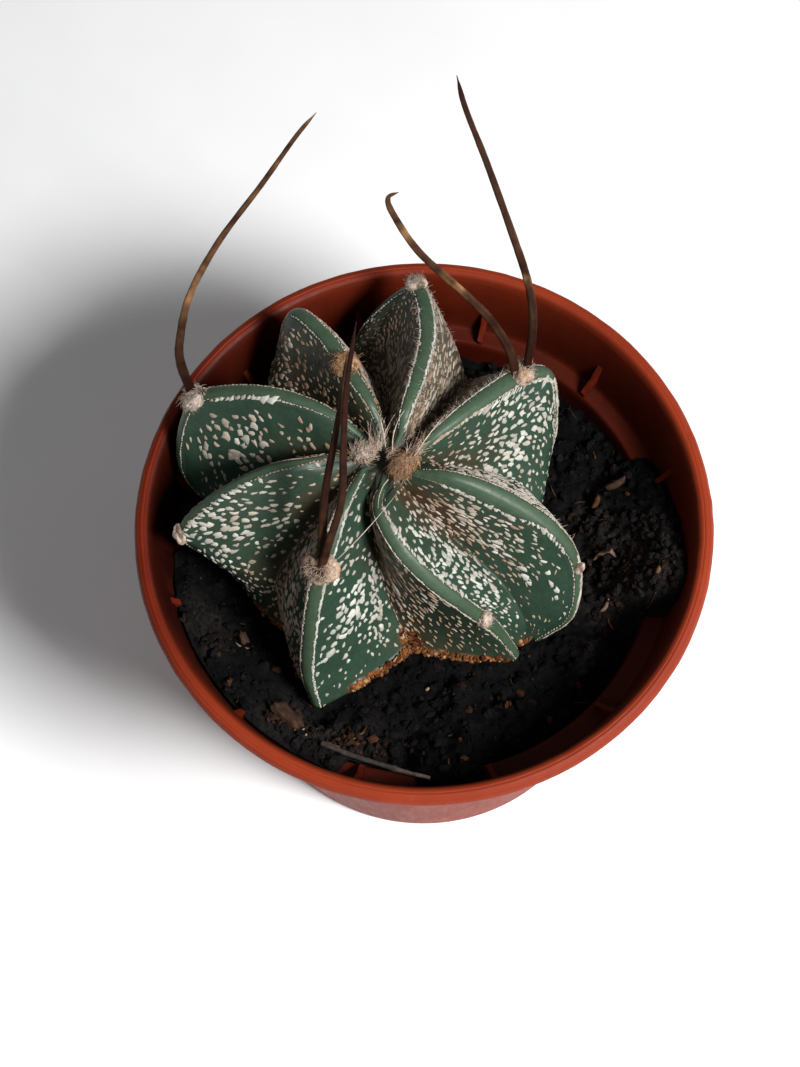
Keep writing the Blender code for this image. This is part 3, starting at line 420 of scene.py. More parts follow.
class CactusSoilSettings(bpy.types.PropertyGroup):
    """Sizes and colours of the soil and its litter."""
    crumb_count: count_setting("Crumbs", "Number of loose crumbs on the soil", 1900, 6000)
    fibre_count: count_setting("Fibres", "Number of loose fibres on the soil", 70, 2000)
    roughness: length_setting("Unevenness", "Height of the soil's fine unevenness",
                              0.75 * MM, 0.0, 4.0 * MM)
    dark: colour_setting("Damp peat", "Colour of the dark peat", (0.0018, 0.0017, 0.0017))
    light: colour_setting("Dry peat", "Colour of the drier peat", (0.0105, 0.0088, 0.0084))
    bark: colour_setting("Bark", "Colour of the bark flakes and fibres", (0.13, 0.052, 0.022))
    straw: colour_setting("Straw", "Colour of the palest fibres", (0.42, 0.31, 0.22))


class CactusPlantSettings(bpy.types.PropertyGroup):
    """Sizes and colours of the plant's body and its flecks."""
    fleck_scale: factor_setting("Fleck scale", "Size of all flecks against their usual size", 1.0, 0.2, 3.0)
    fleck_height: length_setting("Fleck height", "Height of a fleck over the skin",
                                 0.11 * MM, 0.0, 1.0 * MM)
    # The crest's green is lighter than the flank's partly as the skin's own hue and partly as painted
    # light, where the crests catch the light
    crest: colour_setting("Crest", "Colour of the smooth crests", (0.058, 0.097, 0.056))
    flank: colour_setting("Flank", "Colour of the skin on the flanks", (0.026, 0.058, 0.036))
    brown: colour_setting("Brown skin", "Colour of the old skin in the furrows", (0.060, 0.036, 0.018))
    cork: colour_setting("Cork", "Colour of the corky patches and foot", (0.46, 0.19, 0.062))
    felt: colour_setting("Felt", "Colour of the felt between the flecks", (0.17, 0.125, 0.085))
    fleck_pale: colour_setting("Pale fleck", "Colour of the whitest flecks", (0.62, 0.63, 0.56))
    fleck_tan: colour_setting("Tan fleck", "Colour of the brownest flecks", (0.36, 0.22, 0.13))


class CactusWoolSettings(bpy.types.PropertyGroup):
    """Sizes and colours of the wool."""
    hair_count: count_setting("Hairs", "Number of hairs on each pad", 420, 2000)
    hair_length: length_setting("Hair length", "Length of a hair", 0.85 * MM, 0.2 * MM, 10.0 * MM)
    cream: colour_setting("Cream wool", "Colour of the palest wool", (0.80, 0.67, 0.56))
    gold: colour_setting("Golden wool", "Colour of the brownest wool", (0.43, 0.205, 0.075))


class CactusSpineSettings(bpy.types.PropertyGroup):
    """Sizes and colours of the spines."""
    foot_width: length_setting("Foot width", "Width of a spine at its foot", 1.5 * MM, 0.4 * MM, 4.0 * MM)
    tip_width: length_setting("Tip width", "Width of a spine near its tip", 0.62 * MM, 0.2 * MM, 2.0 * MM)
    flatness: factor_setting("Flatness", "Thickness of a spine against its width", 0.62, 0.2, 1.0)
    dark: colour_setting("Dark horn", "Main colour of the spines", (0.021, 0.0056, 0.0038))
    tan: colour_setting("Tan horn", "Colour of the pale zones", (0.30, 0.155, 0.07))


class CactusStageSettings(bpy.types.PropertyGroup):
    """Floor, lights and camera."""
    floor: colour_setting("Floor", "Colour of the plain floor", (0.86, 0.86, 0.86))
    key_power: bpy.props.FloatProperty(
        name="Key light", description="Power of the main light", default=7.0, min=0.0, max=500.0,
        unit="POWER")
    camera_distance: length_setting("Camera distance", "Distance of the camera from the point it looks at",
                                    308.2 * MM, 0.1, 3.0)
    camera_elevation: angle_setting("Camera elevation", "Angle of the view over the horizon", 68.75, 0, 90)
    camera_roll: angle_setting("Camera roll", "Turn of the camera round its line of sight",
                               -1.34, -180, 180)


def unit(vectors):
    """The vectors at length one."""
    return vectors / np.maximum(np.linalg.norm(vectors, axis=-1, keepdims=True), 1e-12)


def smooth(low, high, values):
    """Zero below low, one above high, and a smooth step between them."""
    share = np.clip((values - low) / (high - low), 0.0, 1.0)
    return share * share * (3 - 2 * share)


def mixed(first, second, share):
    """A colour or colours between first and second, by share."""
    share = np.asarray(share)[..., None]
    return np.asarray(first) * (1 - share) + np.asarray(second) * share


def rough(points, size, seed, octaves=1):
    """Noise from -1 to 1: seeded values on a cubic lattice, blended smoothly between its corners.

    Each further octave has half the size and half the height of the one before.
    """
    total, height = np.zeros(points.shape[:-1]), 1.0
    for octave in range(octaves):
        cells = points / (size / 2**octave)
        low = np.floor(cells).astype(np.int64)
        part = cells - low
        part = part * part * (3 - 2 * part)
        for corner in itertools.product((0, 1), repeat=points.shape[-1]):
            at = low + np.array(corner)
            mark = at[..., 0] * 73856093 ^ at[..., 1] * 19349663 ^ (seed + 7 * octave) * 83492791
            if points.shape[-1] == 3:
                mark = mark ^ at[..., 2] * 49979687
            mark = (mark ^ (mark >> 13)) * 1274126177
            value = ((mark ^ (mark >> 16)) & 0xFFFF) / 32767.5 - 1.0
            weight = np.prod(np.where(np.array(corner) == 1, part, 1 - part), axis=-1)
            total += height * value * weight
        height /= 2
    return total


def even_angles(count):
    """Angles spaced evenly round a full turn, without the last, which is the first again."""
    return np.linspace(0, FULL_TURN, count, endpoint=False)


def curve_through(stations, places):
    """Points and unit tangents of a Catmull-Rom curve through the stations, at fractional places."""
    stations = np.asarray(stations, float)
    before = 2 * stations[0] - stations[1]
    after = 2 * stations[-1] - stations[-2]
    padded = np.vstack([before, stations, after])
    first = np.clip(np.floor(places).astype(int), 0, len(stations) - 2)
    t = (places - first)[:, None]
    p0, p1, p2, p3 = (padded[first + k] for k in range(4))
    slope = (p2 - p0) / 2
    bend = p0 - 2.5 * p1 + 2 * p2 - p3 / 2
    twist = (3 * (p1 - p2) + p3 - p0) / 2
    points = p1 + slope * t + bend * t**2 + twist * t**3
    return points, unit(slope + 2 * bend * t + 3 * twist * t**2)


def skin(name, rows, start=None, end=None, colours=None, smooth_shade=True):
    """Closed skins over rows of points, as one mesh.

    The rows have the shape (skins, rows, points round, 3). Quads join each row to the next, and a fan
    closes each end at the given point or at the middle of the end's row. Colours have the rows' shape
    with four values, or three. The faces of each skin that point inwards, by its own signed volume, are
    turned round.
    """
    rows = np.asarray(rows, float)
    if rows.ndim == 3:
        rows = rows[None]
    count, length, around = rows.shape[:3]
    start = rows[:, 0].mean(axis=1) if start is None else np.broadcast_to(start, (count, 3))
    end = rows[:, -1].mean(axis=1) if end is None else np.broadcast_to(end, (count, 3))
    points = np.concatenate([rows.reshape(count, -1, 3), start[:, None], end[:, None]], axis=1)
    each = points.shape[1]
    grid = np.arange(length * around).reshape(length, around)
    onward = np.roll(grid, -1, axis=1)
    quads = np.stack([grid[:-1], grid[1:], onward[1:], onward[:-1]], axis=-1).reshape(-1, 4)
    first = np.stack([grid[0], onward[0], np.full(around, each - 2)], axis=-1)
    last = np.stack([onward[-1], grid[-1], np.full(around, each - 1)], axis=-1)
    fans = np.concatenate([first, last])
    halves = np.concatenate([quads[:, :3], quads[:, [0, 2, 3]], fans])
    corners = points - points.mean(axis=1, keepdims=True)
    volumes = np.einsum("kij,kij->k", corners[:, halves[:, 0]],
                        np.cross(corners[:, halves[:, 1]], corners[:, halves[:, 2]]))
    inward = (volumes < 0)[:, None, None]
    step = (np.arange(count) * each)[:, None, None]
    faces = ((np.where(inward, quads[:, ::-1], quads) + step).reshape(-1, 4).tolist()
             + (np.where(inward, fans[:, ::-1], fans) + step).reshape(-1, 3).tolist())
    mesh = bpy.data.meshes.new(name)
    mesh.from_pydata(points.reshape(-1, 3).tolist(), [], faces)
    if smooth_shade:
        mesh.shade_smooth()
    if colours is not None:
        colours = np.broadcast_to(colours, (*rows.shape[:3], np.shape(colours)[-1]))
        colours = np.concatenate([colours.reshape(count, -1, colours.shape[-1]),
                                  colours[:, 0].mean(axis=1)[:, None],
                                  colours[:, -1].mean(axis=1)[:, None]], axis=1)
        full = np.ones((count * each, 4))
        full[:, :colours.shape[-1]] = colours.reshape(count * each, -1)
        layer = mesh.color_attributes.new("tint", "FLOAT_COLOR", "POINT")
        layer.data.foreach_set("color", np.clip(full, 0.0, 1.0).ravel())
    return mesh


def place_piece(name, mesh, material, slot, *nodes):
    """An object for a mesh, which rides on the root body and may stand for nodes of the frame."""
    piece = bpy.data.objects.new(name, mesh)
    bpy.context.scene.collection.objects.link(piece)
    mesh.materials.clear()
    mesh.materials.append(material)
    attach(piece, "root")
    if nodes:
        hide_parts(*nodes)
    return piece


def add_skin(name, rows, material, slot, *nodes, **looks):
    """A piece made of closed skins over rows of points, with the start, end and colours that skin takes."""
    return place_piece(name, skin(name, rows, **looks), material, slot, *nodes)


def new_material(name):
    """A material, its node tree and its Principled shader."""
    material = bpy.data.materials.new(name)
    material.use_nodes = True
    return material, material.node_tree, material.node_tree.nodes["Principled BSDF"]


def set_inputs(node, values):
    """Set a node's plain inputs by their names."""
    for name, value in values.items():
        node.inputs[name].default_value = value


def add_noise(tree, source, scale, detail=4.0, roughness=0.55, stretch=None):
    """A Noise node on the given coordinates, which may be stretched; its Fac socket."""
    if stretch is not None:
        mapping = tree.nodes.new("ShaderNodeMapping")
        mapping.inputs["Scale"].default_value = stretch
        tree.links.new(source, mapping.inputs["Vector"])
        source = mapping.outputs["Vector"]
    noise = tree.nodes.new("ShaderNodeTexNoise")
    set_inputs(noise, {"Scale": scale, "Detail": detail, "Roughness": roughness})
    tree.links.new(source, noise.inputs["Vector"])
    return noise.outputs["Fac"]


def add_ramp(tree, source, *stops):
    """A Color Ramp node on a value; each stop is a place and a grey value or colour."""
    ramp = tree.nodes.new("ShaderNodeValToRGB")
    elements = ramp.color_ramp.elements
    for at, (place, colour) in enumerate(stops):
        element = elements[at] if at < 2 else elements.new(place)
        element.position = place
        element.color = (colour, colour, colour, 1.0) if np.isscalar(colour) else (*colour, 1.0)
    tree.links.new(source, ramp.inputs["Fac"])
    return ramp.outputs["Color"]


def add_mix(tree, share, first, second, mode="MIX"):
    """A Mix node for colours; each input is a socket or a plain value."""
    mix = tree.nodes.new("ShaderNodeMix")
    mix.data_type = "RGBA"
    mix.blend_type = mode
    for socket, value in ((mix.inputs[0], share), (mix.inputs[6], first), (mix.inputs[7], second)):
        if isinstance(value, bpy.types.NodeSocket):
            tree.links.new(value, socket)
        elif np.isscalar(value):
            socket.default_value = value
        else:
            socket.default_value = (*value, 1.0)
    return mix.outputs[2]


def add_bump(tree, shader, height, strength, distance, under=None):
    """A Bump node on a height, over another bump if one is given; it feeds the shader's normal."""
    bump = tree.nodes.new("ShaderNodeBump")
    set_inputs(bump, {"Strength": strength, "Distance": distance})
    tree.links.new(height, bump.inputs["Height"])
    if under is not None:
        tree.links.new(under, bump.inputs["Normal"])
    tree.links.new(bump.outputs["Normal"], shader.inputs["Normal"])
    return bump.outputs["Normal"]


def object_coordinates(tree):
    """The Object socket of a Texture Coordinate node."""
    return tree.nodes.new("ShaderNodeTexCoord").outputs["Object"]


def mesh_tint(tree):
    """The mesh's own tint."""
    tint = tree.nodes.new("ShaderNodeVertexColor")
    tint.layer_name = "tint"
    return tint.outputs["Color"]


def tinted_material(name, grain, contrast, roughness, bump_strength, bump_distance, stretch=None,
                    subsurface=0.0, sheen=0.0, gloss=0.3):
    """A rough natural finish: the mesh's tint, varied by two sizes of noise, with a bump of the finer.

    Grain is the noise's scale, one over metres. Contrast is how far the tint is darkened and lightened.
    """
    material, tree, shader = new_material(name)
    tint = mesh_tint(tree)
    where = object_coordinates(tree)
    coarse = add_noise(tree, where, grain * 0.22, 3.0)
    fine = add_noise(tree, where, grain, 5.0, 0.62, stretch)
    shade = add_ramp(tree, coarse, (0.3, 1.0 - contrast * 0.6), (0.7, 1.0))
    grainy = add_ramp(tree, fine, (0.32, 1.0 - contrast), (0.68, 1.0))
    colour = add_mix(tree, 1.0, tint, shade, "MULTIPLY")
    colour = add_mix(tree, 1.0, colour, grainy, "MULTIPLY")
    tree.links.new(colour, shader.inputs["Base Color"])
    tree.links.new(add_ramp(tree, fine, (0.3, min(roughness + 0.08, 1.0)), (0.7, roughness - 0.08)),
                   shader.inputs["Roughness"])
    set_inputs(shader, {
        "Subsurface Weight": subsurface, "Subsurface Radius": (1.2, 0.9, 0.5), "Subsurface Scale": 0.6 * MM,
        "Sheen Weight": sheen, "Sheen Roughness": 0.6, "Specular IOR Level": gloss})
    add_bump(tree, shader, fine, bump_strength, bump_distance)
    return material


def pot_material(settings):
    """Moulded plastic: brick red with faint darker clouds, fine scuffs of thin dust round the wall, and
    fine pale specks that are painted glints.
    """
    material, tree, shader = new_material("terracotta_plastic")
    where = object_coordinates(tree)
    clouds = add_noise(tree, where, 55.0, 3.0)
    scuffs = add_noise(tree, where, 900.0, 4.0, 0.7, (1.0, 1.0, 0.12))
    glint_specks = add_noise(tree, where, 2600.0, 3.0, 0.6)
    colour = add_mix(tree, add_ramp(tree, clouds, (0.35, 0.0), (0.65, 1.0)), settings.plastic_dark,
                     settings.plastic)
    colour = add_mix(tree, add_ramp(tree, scuffs, (0.62, 0.0), (0.8, 0.35)), colour, settings.dust_and_glints)
    # Painted glints: fine pale specks over the plastic
    colour = add_mix(tree, add_ramp(tree, glint_specks, (0.68, 0.0), (0.78, 0.5)), colour, settings.dust_and_glints)
    # The mesh's tint brings in the painted shade inside and on the left, and the soil smears
    colour = add_mix(tree, 1.0, colour, mesh_tint(tree), "MULTIPLY")
    tree.links.new(colour, shader.inputs["Base Color"])
    tree.links.new(add_ramp(tree, scuffs, (0.3, 0.44), (0.75, 0.62)), shader.inputs["Roughness"])
    set_inputs(shader, {"Specular IOR Level": 0.12, "Subsurface Weight": 0.06,
                        "Subsurface Radius": (1.0, 0.25, 0.12), "Subsurface Scale": 0.8 * MM})
    under = add_bump(tree, shader, clouds, 0.06, 2.0 * MM)
    add_bump(tree, shader, scuffs, 0.12, 0.06 * MM, under)
    return material


def peat_material(settings):
    """Damp peat: near black, with drier brown crumbs in patches and a deep crumbly bump."""
    material, tree, shader = new_material("damp_peat")
    where = object_coordinates(tree)
    patches = add_noise(tree, where, 130.0, 4.0, 0.6)
    grain = add_noise(tree, where, 1300.0, 6.0, 0.7)
    fibres = add_noise(tree, where, 700.0, 5.0, 0.65, (1.0, 0.2, 1.0))
    colour = add_mix(tree, add_ramp(tree, patches, (0.45, 0.0), (0.75, 0.6)), settings.dark, settings.light)
    colour = add_mix(tree, add_ramp(tree, fibres, (0.66, 0.0), (0.8, 0.2)), colour, settings.bark)
    colour = add_mix(tree, mesh_tint(tree), colour, tuple(2.6 * value for value in settings.light))
    colour = add_mix(tree, 1.0, colour, add_ramp(tree, grain, (0.35, 0.25), (0.7, 1.3)), "MULTIPLY")
    tree.links.new(colour, shader.inputs["Base Color"])
    tree.links.new(add_ramp(tree, grain, (0.3, 0.75), (0.7, 0.98)), shader.inputs["Roughness"])
    shader.inputs["Specular IOR Level"].default_value = 0.08
    under = add_bump(tree, shader, patches, 0.5, 1.2 * MM)
    add_bump(tree, shader, grain, 0.9, 0.45 * MM, under)
    return material


def evaluated(piece):
    """The piece's mesh with its modifiers applied; the modifiers are removed."""
    graph = bpy.context.evaluated_depsgraph_get()
    mesh = bpy.data.meshes.new_from_object(piece.evaluated_get(graph))
    piece.modifiers.clear()
    piece.data = mesh


def weld(mesh, distance):
    """Join points closer than the distance, so that no face is left without an area."""
    joined = bmesh.new()
    joined.from_mesh(mesh)
    bmesh.ops.remove_doubles(joined, verts=joined.verts, dist=distance)
    bmesh.ops.dissolve_degenerate(joined, dist=distance, edges=joined.edges)
    joined.to_mesh(mesh)
    joined.free()


def rounded(corners, reach, steps=5):
    """The corners of a profile, each but the ends replaced by a curve that starts and ends at reach.

    The curve is a quadratic Bezier with its control point at the corner.
    """
    corners = np.asarray(corners, float)
    t = np.linspace(0, 1, steps)[:, None]
    before, at, after = corners[:-2], corners[1:-1], corners[2:]
    back = np.minimum(reach, 0.45 * np.linalg.norm(before - at, axis=1))[:, None]
    ahead = np.minimum(reach, 0.45 * np.linalg.norm(after - at, axis=1))[:, None]
    first = at + unit(before - at) * back
    last = at + unit(after - at) * ahead
    bends = [(1 - t)**2 * p + 2 * t * (1 - t) * q + t**2 * r for p, q, r in zip(first, at, last)]
    return np.vstack([corners[:1], *bends, corners[-1:]])


def pot_profile(settings):
    """Radius and height pairs of the wall, from the floor over the lip to the foot, closely spaced."""
    rim, height = settings.rim_radius, settings.height
    collar_top = rim - LIP_WIDTH
    corners = (
        (0.5 * MM, FLOOR_TOP),
        (FOOT_RADIUS - WALL, FLOOR_TOP),
        (FOOT_RADIUS - WALL + 0.9 * MM, FLOOR_TOP + 1.2 * MM),
        (LEDGE_RADIUS - 0.3 * MM, LEDGE_HEIGHT - 1.0 * MM),
        (LEDGE_RADIUS, LEDGE_HEIGHT),
        (COLLAR_FOOT_RADIUS - 0.4 * MM, LEDGE_HEIGHT + 0.1 * MM),
        (COLLAR_FOOT_RADIUS, LEDGE_HEIGHT + 0.8 * MM),
        (collar_top, height - 1.2 * MM),
        (collar_top + 0.5 * MM, height - 0.3 * MM),
        (rim - LIP_WIDTH / 2, height),
        (rim - 0.5 * MM, height - 0.3 * MM),
        (rim, height - 1.2 * MM),
        (rim, height - LIP_DEPTH + 0.8 * MM),
        (rim - 0.6 * MM, height - LIP_DEPTH),
        (collar_top + WALL, height - LIP_DEPTH - 0.3 * MM),
        (COLLAR_FOOT_RADIUS + WALL, LEDGE_HEIGHT),
        (COLLAR_FOOT_RADIUS + WALL - 0.5 * MM, LEDGE_HEIGHT - WALL),
        (LEDGE_RADIUS + WALL, LEDGE_HEIGHT - WALL - 0.8 * MM),
        (FOOT_RADIUS + 0.4 * MM, 1.0 * MM),
        (FOOT_RADIUS - 0.3 * MM, 0.0),
        (FOOT_RADIUS - FOOT_RING_WIDTH, 0.0),
        (FOOT_RADIUS - FOOT_RING_WIDTH - 0.6 * MM, FLOOR_RECESS),
        (0.5 * MM, FLOOR_RECESS),
    )
    line = rounded(corners, 0.45 * MM)
    travelled = np.concatenate([[0.0], np.cumsum(np.linalg.norm(np.diff(line, axis=0), axis=1))])
    at_lip = travelled[line[:, 1] > height - LIP_DEPTH - 0.5 * MM]
    places = np.concatenate([travelled, np.linspace(at_lip[0], at_lip[-1], 44),
                             np.linspace(0, travelled[-1], 40)])
    places = np.unique(places.round(6))
    return np.column_stack([np.interp(places, travelled, line[:, k]) for k in (0, 1)])


def pot_rows(settings):
    """The profile carried round the axis: radius r and height z at bearing b are (r cos b, r sin b, z).

    The lip has two fine grooves, a small burr on the right, and a wave of a tenth of a millimetre.
    """
    profile = pot_profile(settings)
    rim, height = settings.rim_radius, settings.height
    radius, level = profile[:, :1], profile[:, 1:]
    bearings = even_angles(POT_STEPS)[None]
    on_top = smooth(height - 0.5 * MM, height - 0.2 * MM, level)
    level = level - settings.groove_depth * on_top * sum(
        np.exp(-((radius - rim + place * MM) / (0.11 * MM))**2) for place in (0.8, 1.5))
    outside = smooth(rim - 0.3 * MM, rim - 0.05 * MM, radius) * (level > height - LIP_DEPTH)
    beside = np.exp(-((level - height + 1.7 * MM) / (0.13 * MM))**2)
    radius = radius - settings.groove_depth * outside * beside
    burr = np.exp(-((bearings - math.radians(2.0)) / 0.012)**2)
    top = smooth(height - 2.2 * MM, height - 0.8 * MM, level) * smooth(rim - 1.2 * MM, rim, radius)
    radius = radius + 0.25 * MM * burr * top - 0.0001 * np.cos(2 * bearings + 0.7) * (level > 0.05)
    level = level + 0 * bearings
    rows = np.stack([radius * np.cos(bearings), radius * np.sin(bearings), level], axis=-1)
    worn = 0.05 * MM * rough(rows, 2.4 * MM, 5, 2)[..., None]
    return rows + worn * (rows[..., 2:] > height - LIP_DEPTH - 0.3 * MM) * unit(rows * (1, 1, 0.3))


def pot_painted_shade_and_smears(rows, settings):
    """Tint of the plastic: painted shade inside, deepest towards the soil, and on the left, in ragged
    patches, with soil smears.

    The inside is the part of the profile before its lip, and the left is a range of bearings.
    """
    radius, level = np.hypot(rows[..., 0], rows[..., 1]), rows[..., 2]
    lip = settings.rim_radius - LIP_WIDTH
    before_lip = np.arange(len(rows)) < np.argmax(radius[:, 0] > lip + 1.2 * MM)
    inside = before_lip[:, None] * (1 - smooth(0.3 * MM, 1.2 * MM, radius - lip))
    low = 1 - smooth(0.35, 1.0, (level - LEDGE_HEIGHT) / (settings.height - LEDGE_HEIGHT)
                     + 0.12 * rough(rows, 6.0 * MM, 12, 3))
    soiled = smooth(0.25, 0.75, rough(rows, 3.0 * MM, 13, 3)) * low
    bearings = np.degrees(np.arctan2(rows[..., 1], rows[..., 0])) % 360.0
    left = smooth(95.0, 150.0, bearings) * (1 - smooth(195.0, 235.0, bearings))
    on_lip = smooth(-0.5 * MM, 0.5 * MM, level - settings.height + LIP_DEPTH)
    # Painted shade: inside darker, most towards the soil, and the inner wall and the lip darker on the
    # left; then soil smears
    shade = mixed(WHITE, INNER_PAINTED_SHADE, inside * (0.6 + 0.4 * low))
    shade = shade * mixed(WHITE, LEFT_PAINTED_SHADE, left * inside)
    shade = shade * mixed(WHITE, LIP_PAINTED_SHADE, left * (1 - inside) * on_lip)
    return mixed(shade, SOIL_SMEAR, 0.6 * soiled * inside)


def fin_rows(settings):
    """The fins: a three-cornered outline with a hollow upper edge, drawn in a little at both faces.

    The outline's upper edge drops from the collar to the ledge as a power of the way inwards.
    """
    inner, outer = LEDGE_RADIUS + 0.2 * MM, COLLAR_FOOT_RADIUS + 0.6 * MM
    way = np.linspace(0, 1, 14)
    top = np.column_stack([outer + 0.9 * MM * (1 - way) - (outer - inner) * way,
                           LEDGE_HEIGHT + 1.0 * MM + (FIN_RISE - 1.0 * MM) * (1 - way)**1.25])
    base = np.array(((inner, LEDGE_HEIGHT - 0.4 * MM), (outer, LEDGE_HEIGHT - 0.4 * MM)))
    outline = np.vstack([top, base])
    middle = outline.mean(axis=0)
    half = settings.fin_thickness / 2
    layers = []
    for offset, inset in ((-half, 0.16 * MM), (-half + 0.15 * MM, 0.0), (half - 0.15 * MM, 0.0),
                          (half, 0.16 * MM)):
        flat = outline - unit(outline - middle) * inset
        layers.append(np.column_stack([flat[:, 0], np.full(len(flat), offset), flat[:, 1]]))
    layers = np.stack(layers)
    turns = np.radians(FIN_FIRST_BEARING + np.arange(FIN_COUNT) * 360.0 / FIN_COUNT)[:, None, None]
    x = layers[..., 0] * np.cos(turns) - layers[..., 1] * np.sin(turns)
    y = layers[..., 0] * np.sin(turns) + layers[..., 1] * np.cos(turns)
    return np.stack([x, y, np.broadcast_to(layers[..., 2], x.shape)], axis=-1)


def furrow_curve(rib, places):
    """The furrow between a rib and the next: at each station a share of the way out from the crown."""
    crown = np.array(CROWN[:2]) / MM
    following = RIBS[(RIBS.index(rib) + 1) % len(RIBS)]
    share = np.array(FURROW_SHARE_AT.get(rib, FURROW_SHARE))[:, None]
    between = (np.array(RIB_STATIONS[rib]) + np.array(RIB_STATIONS[following]))[:, :2] / 2
    stations = np.column_stack([crown + (between - crown) * share, FURROW_HEIGHTS]) * MM
    return curve_through(stations, places)[0]


def plant_surface(places, crest_count, flank_shares):
    """Rows round the ribbed body at the given places, by the part's own formula.

    Columns go counter-clockwise: a rib's rounded crest, its flank, the furrow, the next rib's flank.
    """
    half = np.interp(places, range(len(CREST_HALF_WIDTH)), CREST_HALF_WIDTH)[:, None, None] * MM
    angles = np.radians(np.linspace(-90.0, 90.0, crest_count))[None, :, None]
    crests = []
    for rib in RIBS:
        crest, along, out, side = crest_frames(rib, places)
        points = (crest[:, None] + half * np.sin(angles) * side[:, None]
                  - CREST_LIFT * half * (1 - np.cos(angles)) * out[:, None])
        crests.append((points, along, side))
    columns = []
    for rib, (crest, along, side), (following, next_along, next_side) in zip(
            RIBS, crests, crests[1:] + crests[:1]):
        furrow = furrow_curve(rib, places)
        onward = flank_rows(following[:, 0], furrow, next_along, -next_side, flank_shares)
        columns += [crest, flank_rows(crest[:, -1], furrow, along, side, flank_shares), furrow[:, None],
                    onward[:, ::-1]]
    rows = np.concatenate(columns, axis=1)
    rows[-1, :, 2] = PLANT_FOOT + FOOT_BEVEL
    return rows


def crest_frames(rib, places):
    """Crest points of a rib, with the directions along it, out of it and to its left from outside."""
    crest, along = curve_through(np.array(RIB_STATIONS[rib]) * MM, places)
    before = RIBS[RIBS.index(rib) - 1]
    inward = (furrow_curve(rib, places) + furrow_curve(before, places)) / 2 - crest
    inward[:, :2] *= np.clip(CROWN_UPRIGHT + places, 0.0, 1.0)[:, None]
    inward -= (inward * along).sum(axis=1, keepdims=True) * along
    out = unit(-inward)
    return crest, along, out, np.cross(out, along)


def flank_rows(edge, furrow, along, side, shares):
    """Points from a crest's edge towards the furrow: the straight way, plus a swell of 4 s (1 - s)."""
    across = furrow - edge
    breadth = np.linalg.norm(across, axis=1, keepdims=True)
    out = unit(np.cross(across, along))
    out *= np.sign((out * side).sum(axis=1, keepdims=True))
    share = np.asarray(shares)[None, :, None]
    return (edge[:, None] + share * across[:, None]
            + FLANK_BULGE * breadth[:, None] * 4 * share * (1 - share) * out[:, None])


def surface_normals(rows, wrap=True):
    """Outward unit normals of a grid of points: the cross product of its steps down and across."""
    down = np.gradient(rows, axis=0)
    if wrap:
        across = (np.roll(rows, -1, axis=1) - np.roll(rows, 1, axis=1)) / 2
    else:
        across = np.gradient(rows, axis=1)
    return unit(np.cross(down, across))


def column_shares(crest_count, flank_shares):
    """For each column of the body: the share of the way to the furrow, and zero or less on the crest."""
    crest = np.abs(np.linspace(-1, 1, crest_count)) * 0.1 - 0.1
    one = np.concatenate([crest, flank_shares, [1.0], np.array(flank_shares)[::-1]])
    return np.tile(one, len(RIBS))


@functools.cache
def fine_body():
    """The finished ribbed surface, with its rows' places and its columns' shares, worked out once.

    Over the part's own form lie a shallow groove beside each crest, cross swells and fine unevenness.
    """
    flank_shares = np.linspace(0, 1, FINE_FLANK + 2)[1:-1]
    places = np.concatenate([np.linspace(0, 5.6, FINE_ROWS), np.linspace(5.62, LAST_PLACE, FOOT_ROWS)])
    rows = plant_surface(places, FINE_CREST, flank_shares)
    shares = column_shares(FINE_CREST, flank_shares)
    normals = surface_normals(rows)
    middle = np.array(CROWN[:2])
    outward = np.concatenate([rows[..., :2] - middle, 0 * rows[..., :1] + 5 * MM], axis=-1)
    normals *= np.sign((normals * outward).sum(axis=-1, keepdims=True).mean())
    height = 0.16 * MM * rough(rows, 5.0 * MM, 21, 2) + 0.05 * MM * rough(rows, 1.1 * MM, 22, 2)
    height *= 0.35 + 0.65 * (shares > 0)[None]
    height -= 0.12 * MM * np.exp(-((shares + 0.035) / 0.02)**2)[None]
    ragged = rough(rows, 1.3 * MM, 23, 3)
    near_foot = smooth(5.80, 5.88, places[:, None] + 0.07 * ragged) * smooth(0.2, 0.4, shares)[None]
    height += near_foot * (0.28 + 0.30 * ragged + 0.12 * rough(rows, 0.7 * MM, 24, 2)) * MM
    rows = rows + height[..., None] * normals
    return rows, places, shares


def edge_columns(name, places):
    """Column of the crest's edge on a flank, from the crest's middle, at each place."""
    stops = np.array(EDGE_COLUMNS.get(name, ((0.0, EDGE_COLUMN), (LAST_PLACE, EDGE_COLUMN))))
    return np.interp(places, stops[:, 0], stops[:, 1])


